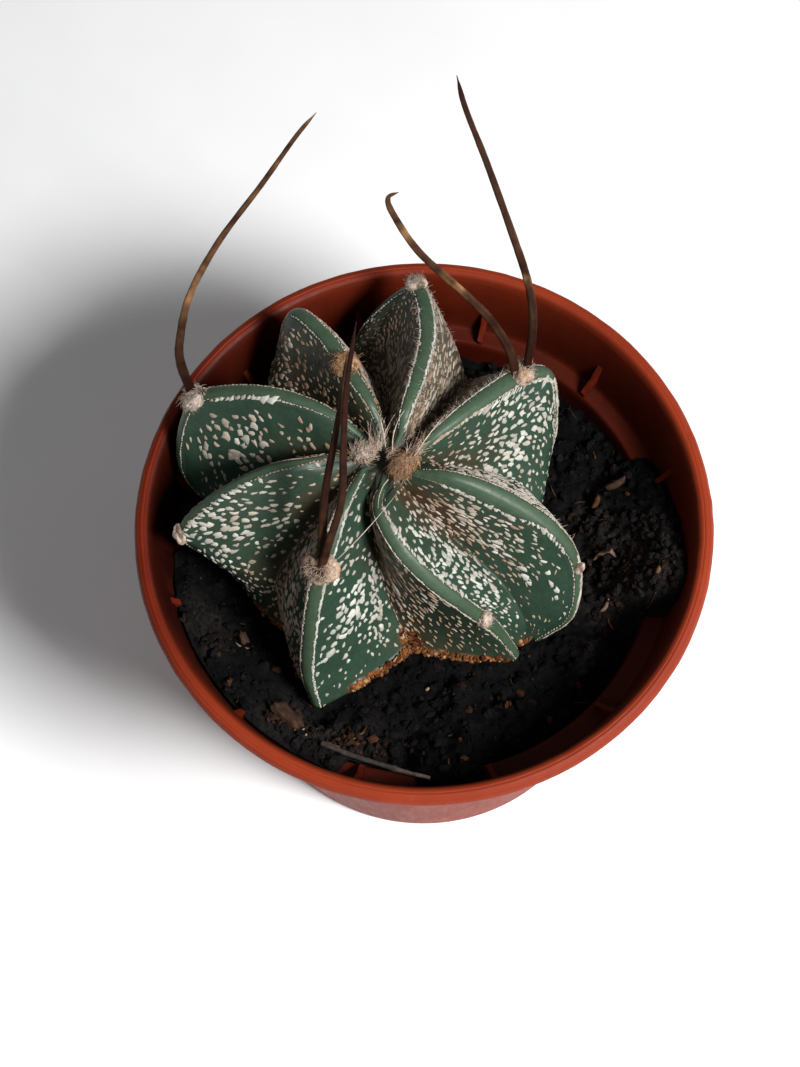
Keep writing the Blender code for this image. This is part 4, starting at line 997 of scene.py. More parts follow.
def body_colours(rows, places, shares, settings):
    """Colours of the skin: green crests and flanks, brown towards the furrows, cork at the foot, and
    painted light and shade.
    """
    past = np.zeros(rows.shape[:2])
    browns, felts, scabs, lows = np.zeros((4, rows.shape[1]))
    for name, columns in flank_columns().items():
        past[:, columns] = np.arange(len(columns))[None] - edge_columns(name, places)[:, None]
        browns[columns[FINE_CREST // 4:]] = Flank(*FLANK_LOOKS[name]).brown
        felts[columns] = FELT.get(name, 0.0)
        lows[columns] = 1.0 if name in BROWN_TO_FOOT else 0.0
        scabs[columns] = 1.0 if name in SCABBY else 0.15
    patches = rough(rows, 4.0 * MM, 31, 3)
    fine = rough(rows, 1.2 * MM, 32, 2)
    crest = 1.0 - smooth(-0.5, 0.4, past)
    # Painted shade along the crest's edge, where the skin turns down into the flank
    rim = np.exp(-((past + 0.2) / 0.9)**2)
    # The crest's lighter green is partly painted light
    colour = mixed(settings.flank, settings.crest, crest * (0.9 + 0.1 * patches))
    colour = colour * (1.0 - 0.35 * rim)[..., None]
    furrow = smooth(0.45, 1.0, shares + 0.22 * patches)
    brown = np.clip(browns * (0.25 + 0.9 * furrow) + 0.35 * furrow + 0.25 * fine * browns, 0, 1)
    brown *= smooth(0.5, 3.0, past)
    high = smooth(2.3, 3.3, places)[:, None]
    brown *= (0.4 + 0.6 * smooth(0.2, 1.2, places))[:, None] - (0.94 - 0.64 * lows) * high
    colour = mixed(colour, settings.brown, brown)
    felt = felts * smooth(0.5, 3.0, past) * np.clip(0.8 + 0.5 * fine + 0.3 * patches, 0, 1)
    colour = mixed(colour, settings.felt, felt)
    low = smooth(5.5, 6.1, places[:, None] + 0.4 * patches + 0.25 * (shares - 0.5))
    colour = mixed(colour, settings.brown, 0.7 * low * smooth(0.05, 0.3, shares))
    ragged = rough(rows, 1.3 * MM, 23, 3)
    grain = rough(rows, 0.7 * MM, 24, 2)
    cork = smooth(5.82, 5.85, places[:, None] + 0.07 * ragged + 0.03 * grain) * smooth(0.22, 0.34, shares)
    scab = smooth(-0.15, 0.1, ragged + 0.5 * grain) * smooth(4.9, 5.4, places)[:, None] * scabs
    cork = np.maximum(cork, 0.95 * scab * smooth(0.86, 0.94, shares + 0.07 * ragged + 0.03 * grain))
    tone = smooth(-1.0, 1.1, ragged + 0.9 * grain)
    burnt = np.array(settings.cork) * (0.14, 0.09, 0.09)
    colour = mixed(colour, mixed(burnt, np.array(settings.cork) * 0.5, tone), cork)
    # Painted shade in the hollow of the crown: the flanks there darken towards a deep brown
    hollow = 1.0 - smooth(0.0, 0.9, places)[:, None] * np.ones_like(patches)
    return mixed(colour, np.array(settings.brown) * 0.35, 0.8 * hollow * smooth(0.0, 0.35, shares))


def flank_columns():
    """The body's columns of each flank, from the middle of its crest to its furrow, by name."""
    per_rib = FINE_CREST + 2 * FINE_FLANK + 1
    half = FINE_CREST // 2
    columns = {}
    for at, rib in enumerate(RIBS):
        first = at * per_rib
        onward = np.arange(first + half, first + FINE_CREST + FINE_FLANK + 1)
        back = np.arange(first + half, first - FINE_FLANK - 2, -1)
        columns[rib + RIBS[(at + 1) % len(RIBS)]] = onward
        columns[rib + RIBS[at - 1]] = back % (len(RIBS) * per_rib)
    return columns


def on_grid(grid, row, column):
    """Points of a grid at fractional rows and columns, blended between the four corners."""
    row = np.clip(row, 0, grid.shape[0] - 1.001)
    column = np.clip(column, 0, grid.shape[1] - 1.001)
    r, c = np.floor(row).astype(int), np.floor(column).astype(int)
    u, v = (row - r)[..., None], (column - c)[..., None]
    return ((1 - u) * (1 - v) * grid[r, c] + u * (1 - v) * grid[r + 1, c]
            + (1 - u) * v * grid[r, c + 1] + u * v * grid[r + 1, c + 1])


def scattered(grid, spacing, stretch, draw):
    """Fractional rows and columns of points scattered evenly over a grid, no two closer than spacing.

    Along the rib the least distance is stretch times as long. Seeded places are drawn by area. Those that
    rank highest among all that lie too near are kept, those near a kept one are dropped, and this is
    repeated on the rest.
    """
    cell = np.linalg.norm(np.cross(np.diff(grid[:, :-1], axis=0), np.diff(grid[:-1], axis=1)), axis=-1)
    cell[:CROWN_ROWS] = 0.0
    count = int(4.5 * cell.sum() / (spacing**2 * stretch))
    picked = draw.choice(cell.size, count, p=(cell / cell.sum()).ravel())
    row = picked // cell.shape[1] + draw.uniform(0, 1, count)
    column = picked % cell.shape[1] + draw.uniform(0, 1, count)
    down = np.linalg.norm(np.diff(grid[:, grid.shape[1] * 2 // 3], axis=0), axis=-1)
    length = np.interp(row, range(len(grid)), np.concatenate([[0.0], np.cumsum(down)])) / stretch
    across = np.cumsum(np.linalg.norm(np.diff(grid, axis=1, prepend=grid[:, :1]), axis=-1), axis=1)
    breadth = on_grid(across[..., None], row, column)[:, 0]
    near = (length[:, None] - length[None])**2 + (breadth[:, None] - breadth[None])**2 < spacing**2
    kept, waiting = np.zeros(count, bool), np.ones(count, bool)
    rank = np.arange(count)
    for _ in range(6):
        rival = np.where(near & waiting[None], rank[None], -1).max(axis=1)
        kept |= waiting & (rival == rank)
        waiting &= ~(near & kept[None]).any(axis=1)
    return row[kept], column[kept]


def fleck_rows(grid, normals, row, column, length, width, turn, lift, draw):
    """Flat flakes that follow a grid: an irregular outline pressed on the skin, and a raised inner ring.

    A point at angle a lies length cos a along the turned direction and width sin a across it, times a
    seeded factor, and is carried to the grid's rows and columns by the size of a cell there.
    """
    sides = 8
    count = len(row)
    r = np.clip(np.floor(row).astype(int), 0, grid.shape[0] - 2)
    c = np.clip(np.floor(column).astype(int), 0, grid.shape[1] - 2)
    row_step = np.linalg.norm(grid[r + 1, c] - grid[r, c], axis=-1)[:, None]
    column_step = np.linalg.norm(grid[r, c + 1] - grid[r, c], axis=-1)[:, None]
    angles = even_angles(sides)[None] + draw.uniform(0, 0.7, (count, 1))
    factor = draw.uniform(0.5, 1.38, (count, sides))
    x = length[:, None] * np.cos(angles) * factor
    y = width[:, None] * np.sin(angles) * factor
    along = x * np.cos(turn)[:, None] - y * np.sin(turn)[:, None]
    across = x * np.sin(turn)[:, None] + y * np.cos(turn)[:, None]
    rings = []
    for share, height in ((0.74, 1.0), (1.0, -0.35)):
        at_row = row[:, None] + share * along / row_step
        at_column = column[:, None] + share * across / column_step
        points = on_grid(grid, at_row, at_column)
        rings.append(points + height * lift[:, None, None] * on_grid(normals, at_row, at_column))
    centre = on_grid(grid, row, column)
    normal = on_grid(normals, row, column)
    top = centre + 1.15 * lift[:, None] * normal
    under = centre - 0.6 * lift[:, None] * normal
    return np.stack(rings, axis=1), top, under


def circles(along, towards, angles, flat=1.0):
    """Rings of radius one square to a path: the cosine to its side, and the sine times flat to its face.

    The side is square to the path and to the given direction.
    """
    side = unit(np.cross(along, np.array(towards)))
    face = np.cross(side, along)
    return (np.cos(angles)[:, None] * side[..., None, :]
            + flat * np.sin(angles)[:, None] * face[..., None, :])


def hair_rows(roots, directions, lengths, widths, droop, segments=4):
    """Thin three-sided hairs: each runs along its direction, bent by droop times the way squared."""
    share = np.linspace(0, 1, segments)[None, :, None]
    path = roots[:, None] + lengths[:, None, None] * (directions[:, None] * share
                                                      + droop[:, None] * share**2)
    along = unit(directions[:, None] + 2 * droop[:, None] * share)
    half = (widths[:, None, None] / 2 * (1 - 0.75 * share))[:, :, None]
    return path[:, :, None] + half * circles(along, HAIR_SIDE, np.arange(3) * FULL_TURN / 3)


@functools.cache
def soil_lumps():
    """Places, spreads and heights of the seeded lumps, drawn in the same order as in the part's source."""
    draw = np.random.default_rng(LUMP_SEED)
    litter = [np.array(point[:2]) * MM for point in TWIG_POINTS]
    litter += [np.array(place) * MM for place, _, _ in BARK_CHIPS.values()]
    found = []
    while len(found) < LUMP_COUNT:
        radius = (LEDGE_RADIUS - 3.5 * MM) * math.sqrt(draw.uniform(0.0, 1.0))
        bearing = draw.uniform(-math.pi, math.pi)
        spread = LUMP_SPREAD * draw.uniform(0.7, 1.25)
        height = draw.uniform(*LUMP_HEIGHT)
        place = np.array((radius * math.cos(bearing), radius * math.sin(bearing)))
        clear_of_litter = all(np.hypot(*(place - other)) > 3.9 * spread for other in litter)
        if past_foot(*place) > 2.6 * spread and clear_of_litter:
            found.append((place, spread, height))
    return found


@functools.cache
def foot_outline():
    """The plant's lowest outline as sorted bearings and distances from the neck."""
    rows = plant_surface(np.linspace(0, LAST_PLACE, COARSE_ROWS), COARSE_CREST, COARSE_FLANK)
    flat = rows[-1, :, :2] - np.array(NECK_PLACE)
    bearings = np.arctan2(flat[:, 1], flat[:, 0])
    order = np.argsort(bearings)
    return bearings[order], np.hypot(flat[:, 0], flat[:, 1])[order]


def past_foot(x, y):
    """How far points lie outside the plant's foot, as seen from the neck."""
    bearings, reaches = foot_outline()
    x, y = x - NECK_PLACE[0], y - NECK_PLACE[1]
    return np.hypot(x, y) - np.interp(np.arctan2(y, x), bearings, reaches, period=FULL_TURN)


def soil_height(x, y, lumps=()):
    """Height of the soil: level, rising towards the wall along the bank, with a rise at each lump."""
    stations, tops, starts = np.array(SOIL_BANK).T
    bearings = np.degrees(np.arctan2(y, x))
    top = np.interp(bearings, stations, tops, period=360.0) * MM
    start = np.interp(bearings, stations, starts, period=360.0)
    share = np.clip((np.hypot(x, y) / MM - start) / (BANK_END - start), 0.0, 1.0)
    height = SOIL_LEVEL + (top - SOIL_LEVEL) * share**BANK_CURVE
    for place, spread, rise in lumps:
        away = ((x - place[0])**2 + (y - place[1])**2) / spread**2
        height = height + rise * np.exp(-away / 2)
    return height


def crumbly_height(x, y, settings):
    """The soil's height with its lumps and its unevenness, which fades out under the plant's foot."""
    flat = np.stack([x, y], axis=-1)
    outside = smooth(-1.0 * MM, 1.5 * MM, past_foot(x, y))
    ridges = 1.0 - np.abs(rough(flat, 3.4 * MM, 41, 3))
    fine = rough(flat, 1.3 * MM, 42, 3)
    return (soil_height(x, y, soil_lumps())
            + settings.roughness * outside * (1.5 * (ridges - 0.62) + 0.55 * fine))


def dryness(points):
    """How dry the soil is at each point: most in the heap on the right, some at the front left."""
    share = np.zeros(points.shape[:-1])
    for (x, y), reach, _, _, _, dry in CLODS:
        away = np.hypot(points[..., 0] - x * MM, points[..., 1] - y * MM) / (1.5 * reach * MM)
        share = np.maximum(share, dry * np.exp(-away**2))
    return np.clip(share * (0.9 + 0.6 * rough(points, 2.0 * MM, 45, 3)), 0, 1)


def soil_edge(bearings):
    """Radius that the soil reaches at each bearing: the lower wall, or the collar where it is banked."""
    x, y = BANK_END * MM * np.cos(bearings), BANK_END * MM * np.sin(bearings)
    ragged = 0.5 * MM * rough(np.stack([x, y], axis=-1), 2.2 * MM, 43, 2)
    wall = soil_height(x, y)
    banked = smooth(LEDGE_HEIGHT - 0.3 * MM, LEDGE_HEIGHT + 0.9 * MM, wall + ragged)
    low = LEDGE_RADIUS - 0.45 * MM
    slope = (POT_BOX[1].x - LIP_WIDTH - COLLAR_FOOT_RADIUS) / (POT_BOX[1].z - 2 * MM - LEDGE_HEIGHT)
    high = COLLAR_FOOT_RADIUS - 0.35 * MM + slope * np.maximum(wall - LEDGE_HEIGHT - 1 * MM, 0.0)
    return low + (high - low) * banked


def soil_rows(settings):
    """The filling: from the neck's hole over the crumbly top to the wall, down it and to the floor."""
    bearings = even_angles(400)
    flat = np.column_stack([np.cos(bearings), np.sin(bearings)])
    hole = np.array(NECK_PLACE) + (NECK_RADIUS + 0.3 * MM) * flat
    reach = soil_edge(bearings)
    edge = reach[:, None] * flat
    bottom = np.array(NECK_PLACE) + (NECK_TIP_RADIUS + 0.6 * MM) * flat
    rows = [np.column_stack([bottom, np.full(len(flat), NECK_FOOT - 0.3 * MM)])]
    for share in np.linspace(0, 1, 110)**0.8:
        at = hole + (edge - hole) * share
        level = crumbly_height(at[:, 0], at[:, 1], settings)
        beyond = np.hypot(at[:, 0], at[:, 1]) > LEDGE_RADIUS - 0.3 * MM
        level = np.where(beyond, np.maximum(level, LEDGE_HEIGHT + 0.35 * MM), level)
        rows.append(np.column_stack([at, level]))
    rim = rows[-1][:, 2]
    side = np.minimum(rim - 0.3 * MM, LEDGE_HEIGHT + 0.2 * MM)
    low = np.full(len(flat), LEDGE_RADIUS - 0.5 * MM)
    for radius, level in (
        (np.minimum(reach, COLLAR_FOOT_RADIUS - 0.4 * MM), side),
        (low, side - 0.05 * MM),
        (low - 1.0 * MM, side - 14 * MM),
        (np.full(len(flat), FOOT_RADIUS - WALL - 0.3 * MM), np.full(len(flat), FLOOR_TOP + 1.6 * MM)),
        (np.full(len(flat), FOOT_RADIUS - WALL - 0.8 * MM), np.full(len(flat), FLOOR_TOP + 0.3 * MM)),
    ):
        rows.append(np.column_stack([radius[:, None] * flat, level]))
    return np.stack(rows), (*NECK_PLACE, NECK_FOOT - 0.3 * MM), (0.0, 0.0, FLOOR_TOP + 0.3 * MM)


def spread_on_soil(count, draw, settings, margin):
    """Seeded points on the soil, outside the plant's foot by the margin, with their heights."""
    bearings = draw.uniform(-math.pi, math.pi, count * 2)
    radius = (LEDGE_RADIUS + 2.2 * MM) * np.sqrt(draw.uniform(0.02, 1.0, count * 2))
    x, y = radius * np.cos(bearings), radius * np.sin(bearings)
    inside = (past_foot(x, y) > margin) & (radius < soil_edge(bearings) - 0.5 * MM)
    x, y = x[inside][:count], y[inside][:count]
    return np.column_stack([x, y, crumbly_height(x, y, settings)])


def crumb_rows(places, sizes, draw, spread=(0.6, 1.2)):
    """Uneven crumbs: small balls whose radius at each point is a seeded factor, squashed and turned."""
    count, levels, around = len(places), 4, 7
    rise = np.linspace(-0.8, 0.8, levels)[None, :, None] * math.pi / 2
    turn = even_angles(around)[None, None] + draw.uniform(0, 1.0, (count, 1, 1))
    ball = np.stack([np.cos(rise) * np.cos(turn), np.cos(rise) * np.sin(turn),
                     np.sin(rise) + 0 * turn], axis=-1)
    ball *= draw.uniform(0.7, 1.25, (count, levels, around, 1))
    ball *= draw.uniform(*spread, (count, 1, 1, 3)) * sizes[:, None, None, None]
    tilt = draw.normal(0, 1, (count, 3, 3))
    axes = np.linalg.qr(tilt)[0]
    axes[np.linalg.det(axes) < 0] *= -1
    return places[:, None, None] + np.einsum("kij,krcj->krci", axes, ball)


def fibre_rows(places, heading, lengths, widths, bend, rise, settings):
    """Flat fibres that lie on the soil: a bowed path, and a slim oval carried along it."""
    way = np.linspace(-0.5, 0.5, 9)[None]
    bow = bend[:, None] * (way**2 - 0.08)
    cosine, sine = np.cos(heading)[:, None], np.sin(heading)[:, None]
    x = places[:, :1] + lengths[:, None] * (way * cosine - bow * sine)
    y = places[:, 1:2] + lengths[:, None] * (way * sine + bow * cosine)
    ground = crumbly_height(x, y, settings)
    level = ground.mean(axis=1, keepdims=True) * 0.55 + ground * 0.45
    level = np.maximum(level, ground - 0.1 * MM) + widths[:, None] * 0.4 + rise[:, None] * (way + 0.5)
    path = np.stack([x, y, level], axis=-1)
    along = unit(np.gradient(path, axis=1))
    taper = (1 - (2 * np.abs(way))**3 * 0.75)[..., None, None] * widths[:, None, None, None] / 2
    return path[:, :, None] + taper * circles(along, UPWARD, np.arange(4) * FULL_TURN / 4, 0.55)


def spine_rows(stations, settings):
    """Flattened rings along a spine, narrowing to its tip, with a shallow groove along its front face.

    The width at share s is foot + (tip - foot) s^1.3, and it narrows further over the last tenth.
    """
    last = len(stations) - 1
    places = np.linspace(0, last, 140)
    points, along = curve_through(np.array(stations) * MM, places)
    side = unit(np.cross(along, np.array((0.35, -1.0, 0.0))))
    face = np.cross(side, along)
    share = (places / last)[:, None]
    width = settings.foot_width + (settings.tip_width - settings.foot_width) * share**1.3
    thickness = np.maximum(width * settings.flatness, 0.45 * MM)
    slim = 1 - 0.78 * smooth(0.9, 1.0, share)**1.5
    angles = even_angles(20)[None]
    groove = 1 - 0.30 * np.exp(-(np.cos(angles) / 0.33)**2)
    knots = 1 + 0.05 * rough(np.column_stack([share[:, 0] * 40, 0 * share[:, 0]]), 1.0, 51, 2)[:, None]
    x = width / 2 * np.cos(angles) * slim * knots
    y = thickness / 2 * np.sin(angles) * groove * slim * knots
    rows = points[:, None] + x[..., None] * side[:, None] + y[..., None] * face[:, None]
    return rows, share[:, 0]


def pad_frame(rib, station):
    """The middle and the three directions of an areole: along the crest, across it and out of it."""
    crest, along, out, side = crest_frames(rib, np.array([station]))
    return crest[0], along[0], side[0], out[0]


def dome_rows(middle, axes, half_sizes, seed):
    """A matted pad, and how deep in a crease each point lies: an ellipsoid pushed in and out by noise.

    The coarse noise is folded, 1 - 2 |n|, so that it makes rounded locks with creases between them.
    """
    rise = np.linspace(0.03, math.pi - 0.03, 34)[:, None]
    turn = even_angles(46)[None]
    ball = np.stack([np.sin(rise) * np.cos(turn), np.sin(rise) * np.sin(turn),
                     np.cos(rise) + 0 * turn], axis=-1)
    local = ball * np.array(half_sizes) * MM * 0.80
    locks = 1 - 2 * np.abs(rough(local, 1.7 * MM, seed, 2))
    fine = rough(local, 0.45 * MM, seed + 1, 2)
    lumpy = rough(local, 2.6 * MM, seed + 2, 1)
    local = local + ((0.26 * locks + 0.14 * fine + 0.30 * lumpy) * MM)[..., None] * unit(local)
    return middle + local @ np.array(axes), smooth(0.35, -0.5, locks + 0.35 * fine)


class CACTUS_OT_stage(bpy.types.Operator):
    """Add the camera, the floor and the lights"""
    bl_idname = "cactus.add_stage"
    bl_label = "Stage"

    def execute(self, context):
        settings = context.scene.cactus_stage
        add_camera(settings)
        add_floor(settings)
        add_lights(settings)
        return {"FINISHED"}


def add_camera(settings):
    """A camera over the front of the pot, looking down at the plant."""
    elevation, roll = settings.camera_elevation, settings.camera_roll
    forward = Vector((0.0, math.cos(elevation), -math.sin(elevation)))
    level = Vector((1.0, 0.0, 0.0))
    upright = Vector((0.0, math.sin(elevation), math.cos(elevation)))
    right = level * math.cos(roll) + upright * math.sin(roll)
    up = upright * math.cos(roll) - level * math.sin(roll)
    target = Vector(CAMERA_TARGET) * MM
    data = bpy.data.cameras.new("camera")
    data.lens = FOCAL_PIXELS * SENSOR_WIDTH / FRAME_PIXELS
    data.sensor_width = SENSOR_WIDTH
    data.sensor_fit = "AUTO"
    data.clip_start = 0.01
    camera = bpy.data.objects.new("camera", data)
    turn = Matrix((right, up, -forward)).transposed().to_4x4()
    camera.matrix_world = Matrix.Translation(target - forward * settings.camera_distance) @ turn
    bpy.context.scene.collection.objects.link(camera)
    bpy.context.scene.camera = camera


def add_floor(settings):
    """A wide pale floor with a faint mottle."""
    corners = np.array(((-1, -1), (1, -1), (1, 1), (-1, 1))) * FLOOR_REACH
    mesh = bpy.data.meshes.new("floor")
    mesh.from_pydata([(x, y, 0.0) for x, y in corners], [], [(0, 1, 2, 3)])
    material, tree, shader = new_material("pale_floor")
    mottle = add_noise(tree, object_coordinates(tree), 40.0, 2.0)
    low = tuple(0.97 * value for value in settings.floor)
    tree.links.new(add_ramp(tree, mottle, (0.3, low), (0.7, tuple(settings.floor))),
                   shader.inputs["Base Color"])
    shader.inputs["Roughness"].default_value = 0.9
    mesh.materials.append(material)
    floor = bpy.data.objects.new("floor", mesh)
    bpy.context.scene.collection.objects.link(floor)


def add_lights(settings):
    """A large soft key light from the front right, a weak fill from the left, and a pale sky."""
    aim = Vector(LIGHT_TARGET) * MM
    for name, (place, size, share) in LIGHTS.items():
        data = bpy.data.lights.new(name, "AREA")
        data.size = size
        data.energy = settings.key_power * share
        light = bpy.data.objects.new(name, data)
        towards = (aim - Vector(place)).to_track_quat("-Z", "Y")
        light.matrix_world = Matrix.Translation(place) @ towards.to_matrix().to_4x4()
        bpy.context.scene.collection.objects.link(light)
    world = bpy.data.worlds.new("studio")
    world.use_nodes = True
    sky = world.node_tree.nodes["Background"]
    set_inputs(sky, {"Color": SKY_COLOUR, "Strength": SKY_STRENGTH})
    bpy.context.scene.world = world
    bpy.context.scene.view_settings.view_transform = "Standard"


class CACTUS_OT_pot(bpy.types.Operator):
    """Add the finished pot in place of the plain one"""
    bl_idname = "cactus.add_pot"
    bl_label = "Pot"

    def execute(self, context):
        settings = context.scene.cactus_pot
        rows = pot_rows(settings)
        material = pot_material(settings)
        # The pot's tint is painted shade inside and on the left, with soil smears
        pot = add_skin("pot_shell", rows, material, "pot_plastic", "pot", start=(0.0, 0.0, FLOOR_TOP),
                       end=(0.0, 0.0, FLOOR_RECESS), colours=pot_painted_shade_and_smears(rows, settings))
        bearings = np.arange(DRAIN_COUNT) * FULL_TURN / DRAIN_COUNT
        around = even_angles(32)
        drills = np.stack([np.stack([
            DRAIN_CIRCLE * np.cos(bearings)[:, None] + DRAIN_RADIUS * np.cos(around),
            DRAIN_CIRCLE * np.sin(bearings)[:, None] + DRAIN_RADIUS * np.sin(around),
            np.full((DRAIN_COUNT, len(around)), level)], axis=-1)
            for level in (FLOOR_RECESS - 2 * MM, FLOOR_TOP + 1 * MM)], axis=1)
        drill = bpy.data.objects.new("pot_drill", skin("pot_drill", drills, colours=WHITE))
        context.scene.collection.objects.link(drill)
        cut = pot.modifiers.new("Drains", "BOOLEAN")
        cut.operation = "DIFFERENCE"
        cut.solver = "EXACT"
        cut.object = drill
        evaluated(pot)
        bpy.data.objects.remove(drill, do_unlink=True)
        weld(pot.data, 0.002 * MM)
        pot.data.set_sharp_from_angle(angle=SHARP_ANGLE)
        # The fins' tint is painted shade
        fins = add_skin("pot_fins", fin_rows(settings), material, "pot_plastic", colours=FIN_PAINTED_SHADE)
        fins.data.set_sharp_from_angle(angle=SHARP_ANGLE)
        return {"FINISHED"}


class CACTUS_OT_soil(bpy.types.Operator):
    """Add the finished soil in place of the plain one"""
    bl_idname = "cactus.add_soil"
    bl_label = "Soil"

    def execute(self, context):
        settings = context.scene.cactus_soil
        rows, start, end = soil_rows(settings)
        add_skin("soil_bed", rows, peat_material(settings), "peat", "soil", start=start, end=end,
                 colours=dryness(rows)[..., None] * np.ones(3))
        return {"FINISHED"}


class CACTUS_OT_crumbs(bpy.types.Operator):
    """Add the loose crumbs and fibres on the soil"""
    bl_idname = "cactus.add_crumbs"
    bl_label = "Crumbs and fibres"

    def execute(self, context):
        settings = context.scene.cactus_soil
        draw = np.random.default_rng(CRUMB_SEED)
        places = spread_on_soil(settings.crumb_count, draw, settings, 0.6 * MM)
        sizes = (0.22 + 0.85 * draw.uniform(0, 1, len(places))**4) * MM
        kind = draw.uniform(0, 1, len(places))
        barks = np.where(kind > 0.95, draw.uniform(0.1, 0.8, len(places)), 0.0)
        dries = np.maximum(draw.uniform(0, 1, len(places))**2, 2.0 * dryness(places))
        for (x, y), reach, count, largest, bark, dry in CLODS:
            away, bearings = reach * np.sqrt(draw.uniform(0, 1, count)), draw.uniform(0, FULL_TURN, count)
            at_x, at_y = (x + away * np.cos(bearings)) * MM, (y + away * np.sin(bearings)) * MM
            level = crumbly_height(at_x, at_y, settings)
            level = level + 0.35 * MM * (reach - away) * draw.uniform(0.2, 1.0, count)
            kept = np.hypot(at_x, at_y) < soil_edge(np.arctan2(at_y, at_x)) - 0.5 * MM
            kept &= past_foot(at_x, at_y) > 0.8 * MM
            places = np.concatenate([places, np.column_stack([at_x, at_y, level])[kept]])
            sizes = np.concatenate([sizes, largest * MM * draw.uniform(0.3, 1.0, count)[kept]])
            barks = np.concatenate([barks, bark * draw.uniform(0.0, 1.3, count)[kept]])
            dries = np.concatenate([dries, dry * draw.uniform(0.5, 2.4, count)[kept]])
        tint = mixed(settings.dark, settings.light, dries)
        tint = mixed(tint, settings.bark, np.clip(barks, 0, 1) * draw.uniform(0.2, 0.9, len(places)))
        finish = tinted_material("loose_crumbs", 1500.0, 0.5, 0.9, 0.6, 0.2 * MM, gloss=0.08)
        add_skin("soil_crumbs", crumb_rows(places, sizes, draw), finish, "peat",
                 colours=tint[:, None, None], smooth_shade=False)
        flakes = np.array(FLAKES)
        places = spread_on_soil(settings.fibre_count, draw, settings, 1.5 * MM)
        count = len(places)
        straws = np.where(draw.uniform(0, 1, count) > 0.95, 0.5, 0.0)
        barks = np.concatenate([draw.uniform(0.0, 0.6, count), flakes[:, 6]])
        tint = mixed(settings.light, settings.bark, barks)
        tint = mixed(tint, settings.straw, np.concatenate([straws, flakes[:, 7]]))
        rows = fibre_rows(
            np.concatenate([places[:, :2], flakes[:, :2] * MM]),
            np.concatenate([draw.uniform(0, FULL_TURN, count), np.radians(flakes[:, 4])]),
            np.concatenate([draw.uniform(0.8, 3.2, count), flakes[:, 2]]) * MM,
            np.concatenate([draw.uniform(0.14, 0.40, count), flakes[:, 3]]) * MM,
            np.concatenate([draw.normal(0, 0.4, count), flakes[:, 5]]),
            np.concatenate([draw.uniform(-0.2, 0.7, count), np.full(len(flakes), 0.5)]) * MM, settings)
        finish = tinted_material("peat_fibre", 2200.0, 0.45, 0.85, 0.4, 0.08 * MM, gloss=0.1)
        add_skin("soil_fibres", rows, finish, "bark", colours=tint[:, None, None])
        return {"FINISHED"}


class CACTUS_OT_body(bpy.types.Operator):
    """Add the finished ribbed body in place of the plain one"""
    bl_idname = "cactus.add_body"
    bl_label = "Ribbed body"

    def execute(self, context):
        settings = context.scene.cactus_plant
        rows, places, shares = fine_body()
        colours = body_colours(rows, places, shares, settings)
        neck = np.array(NECK_PLACE)
        around = rows.shape[1]
        first = math.atan2(rows[-1, 0, 1] - neck[1], rows[-1, 0, 0] - neck[0])
        bearings = first + even_angles(around)
        circle = np.column_stack([np.cos(bearings), np.sin(bearings)])
        under = rows[-1].copy()
        under[:, :2] = neck + (under[:, :2] - neck) * FOOT_INSET
        under[:, 2] = PLANT_FOOT
        ends = [np.column_stack([neck + radius * circle, np.full(around, level)])
                for radius, level in ((NECK_RADIUS, PLANT_FOOT - 0.05 * MM), (NECK_TIP_RADIUS, NECK_FOOT))]
        shown = np.concatenate([rows, under[None], np.stack(ends)])
        tints = np.concatenate([colours, np.broadcast_to(settings.cork, (3, around, 3))])
        finish = tinted_material("cactus_skin", 1400.0, 0.28, 0.48, 0.35, 0.10 * MM, subsurface=0.04,
                                 gloss=0.34)
        add_skin("cactus_skin", shown, finish, "cactus_skin", "cactus_body", start=CROWN,
                 end=(*NECK_PLACE, NECK_FOOT), colours=tints)
        return {"FINISHED"}


class CACTUS_OT_flecks(bpy.types.Operator):
    """Add the raised pale flecks on the flanks and along the crests"""
    bl_idname = "cactus.add_flecks"
    bl_label = "Flecks"

    def execute(self, context):
        settings = context.scene.cactus_plant
        rows, places, _ = fine_body()
        draw = np.random.default_rng(FLECK_SEED)
        halves = {"flecks_left": [], "flecks_right": []}
        for name, columns in flank_columns().items():
            halves["flecks_left" if name[0] in "hgfa" else "flecks_right"].append(
                fleck_group(name, rows[:, columns], places, draw, settings))
        finish = tinted_material("fleck_felt", 5200.0, 0.30, 0.92, 0.7, 0.06 * MM, sheen=0.15)
        for name, groups in halves.items():
            rings, top, under, tint = (np.concatenate(parts) for parts in zip(*groups))
            add_skin(name, rings, finish, "areole_wool", start=top, end=under,
                     colours=tint[:, None, None])
        return {"FINISHED"}


def flank_normals(grid):
    """Unit normals of a flank's grid that point away from the crown."""
    normals = surface_normals(grid, wrap=False)
    outward = np.concatenate([grid[..., :2] - np.array(CROWN[:2]), 0 * grid[..., :1] + 5 * MM], axis=-1)
    return normals * np.sign((normals * outward).sum())


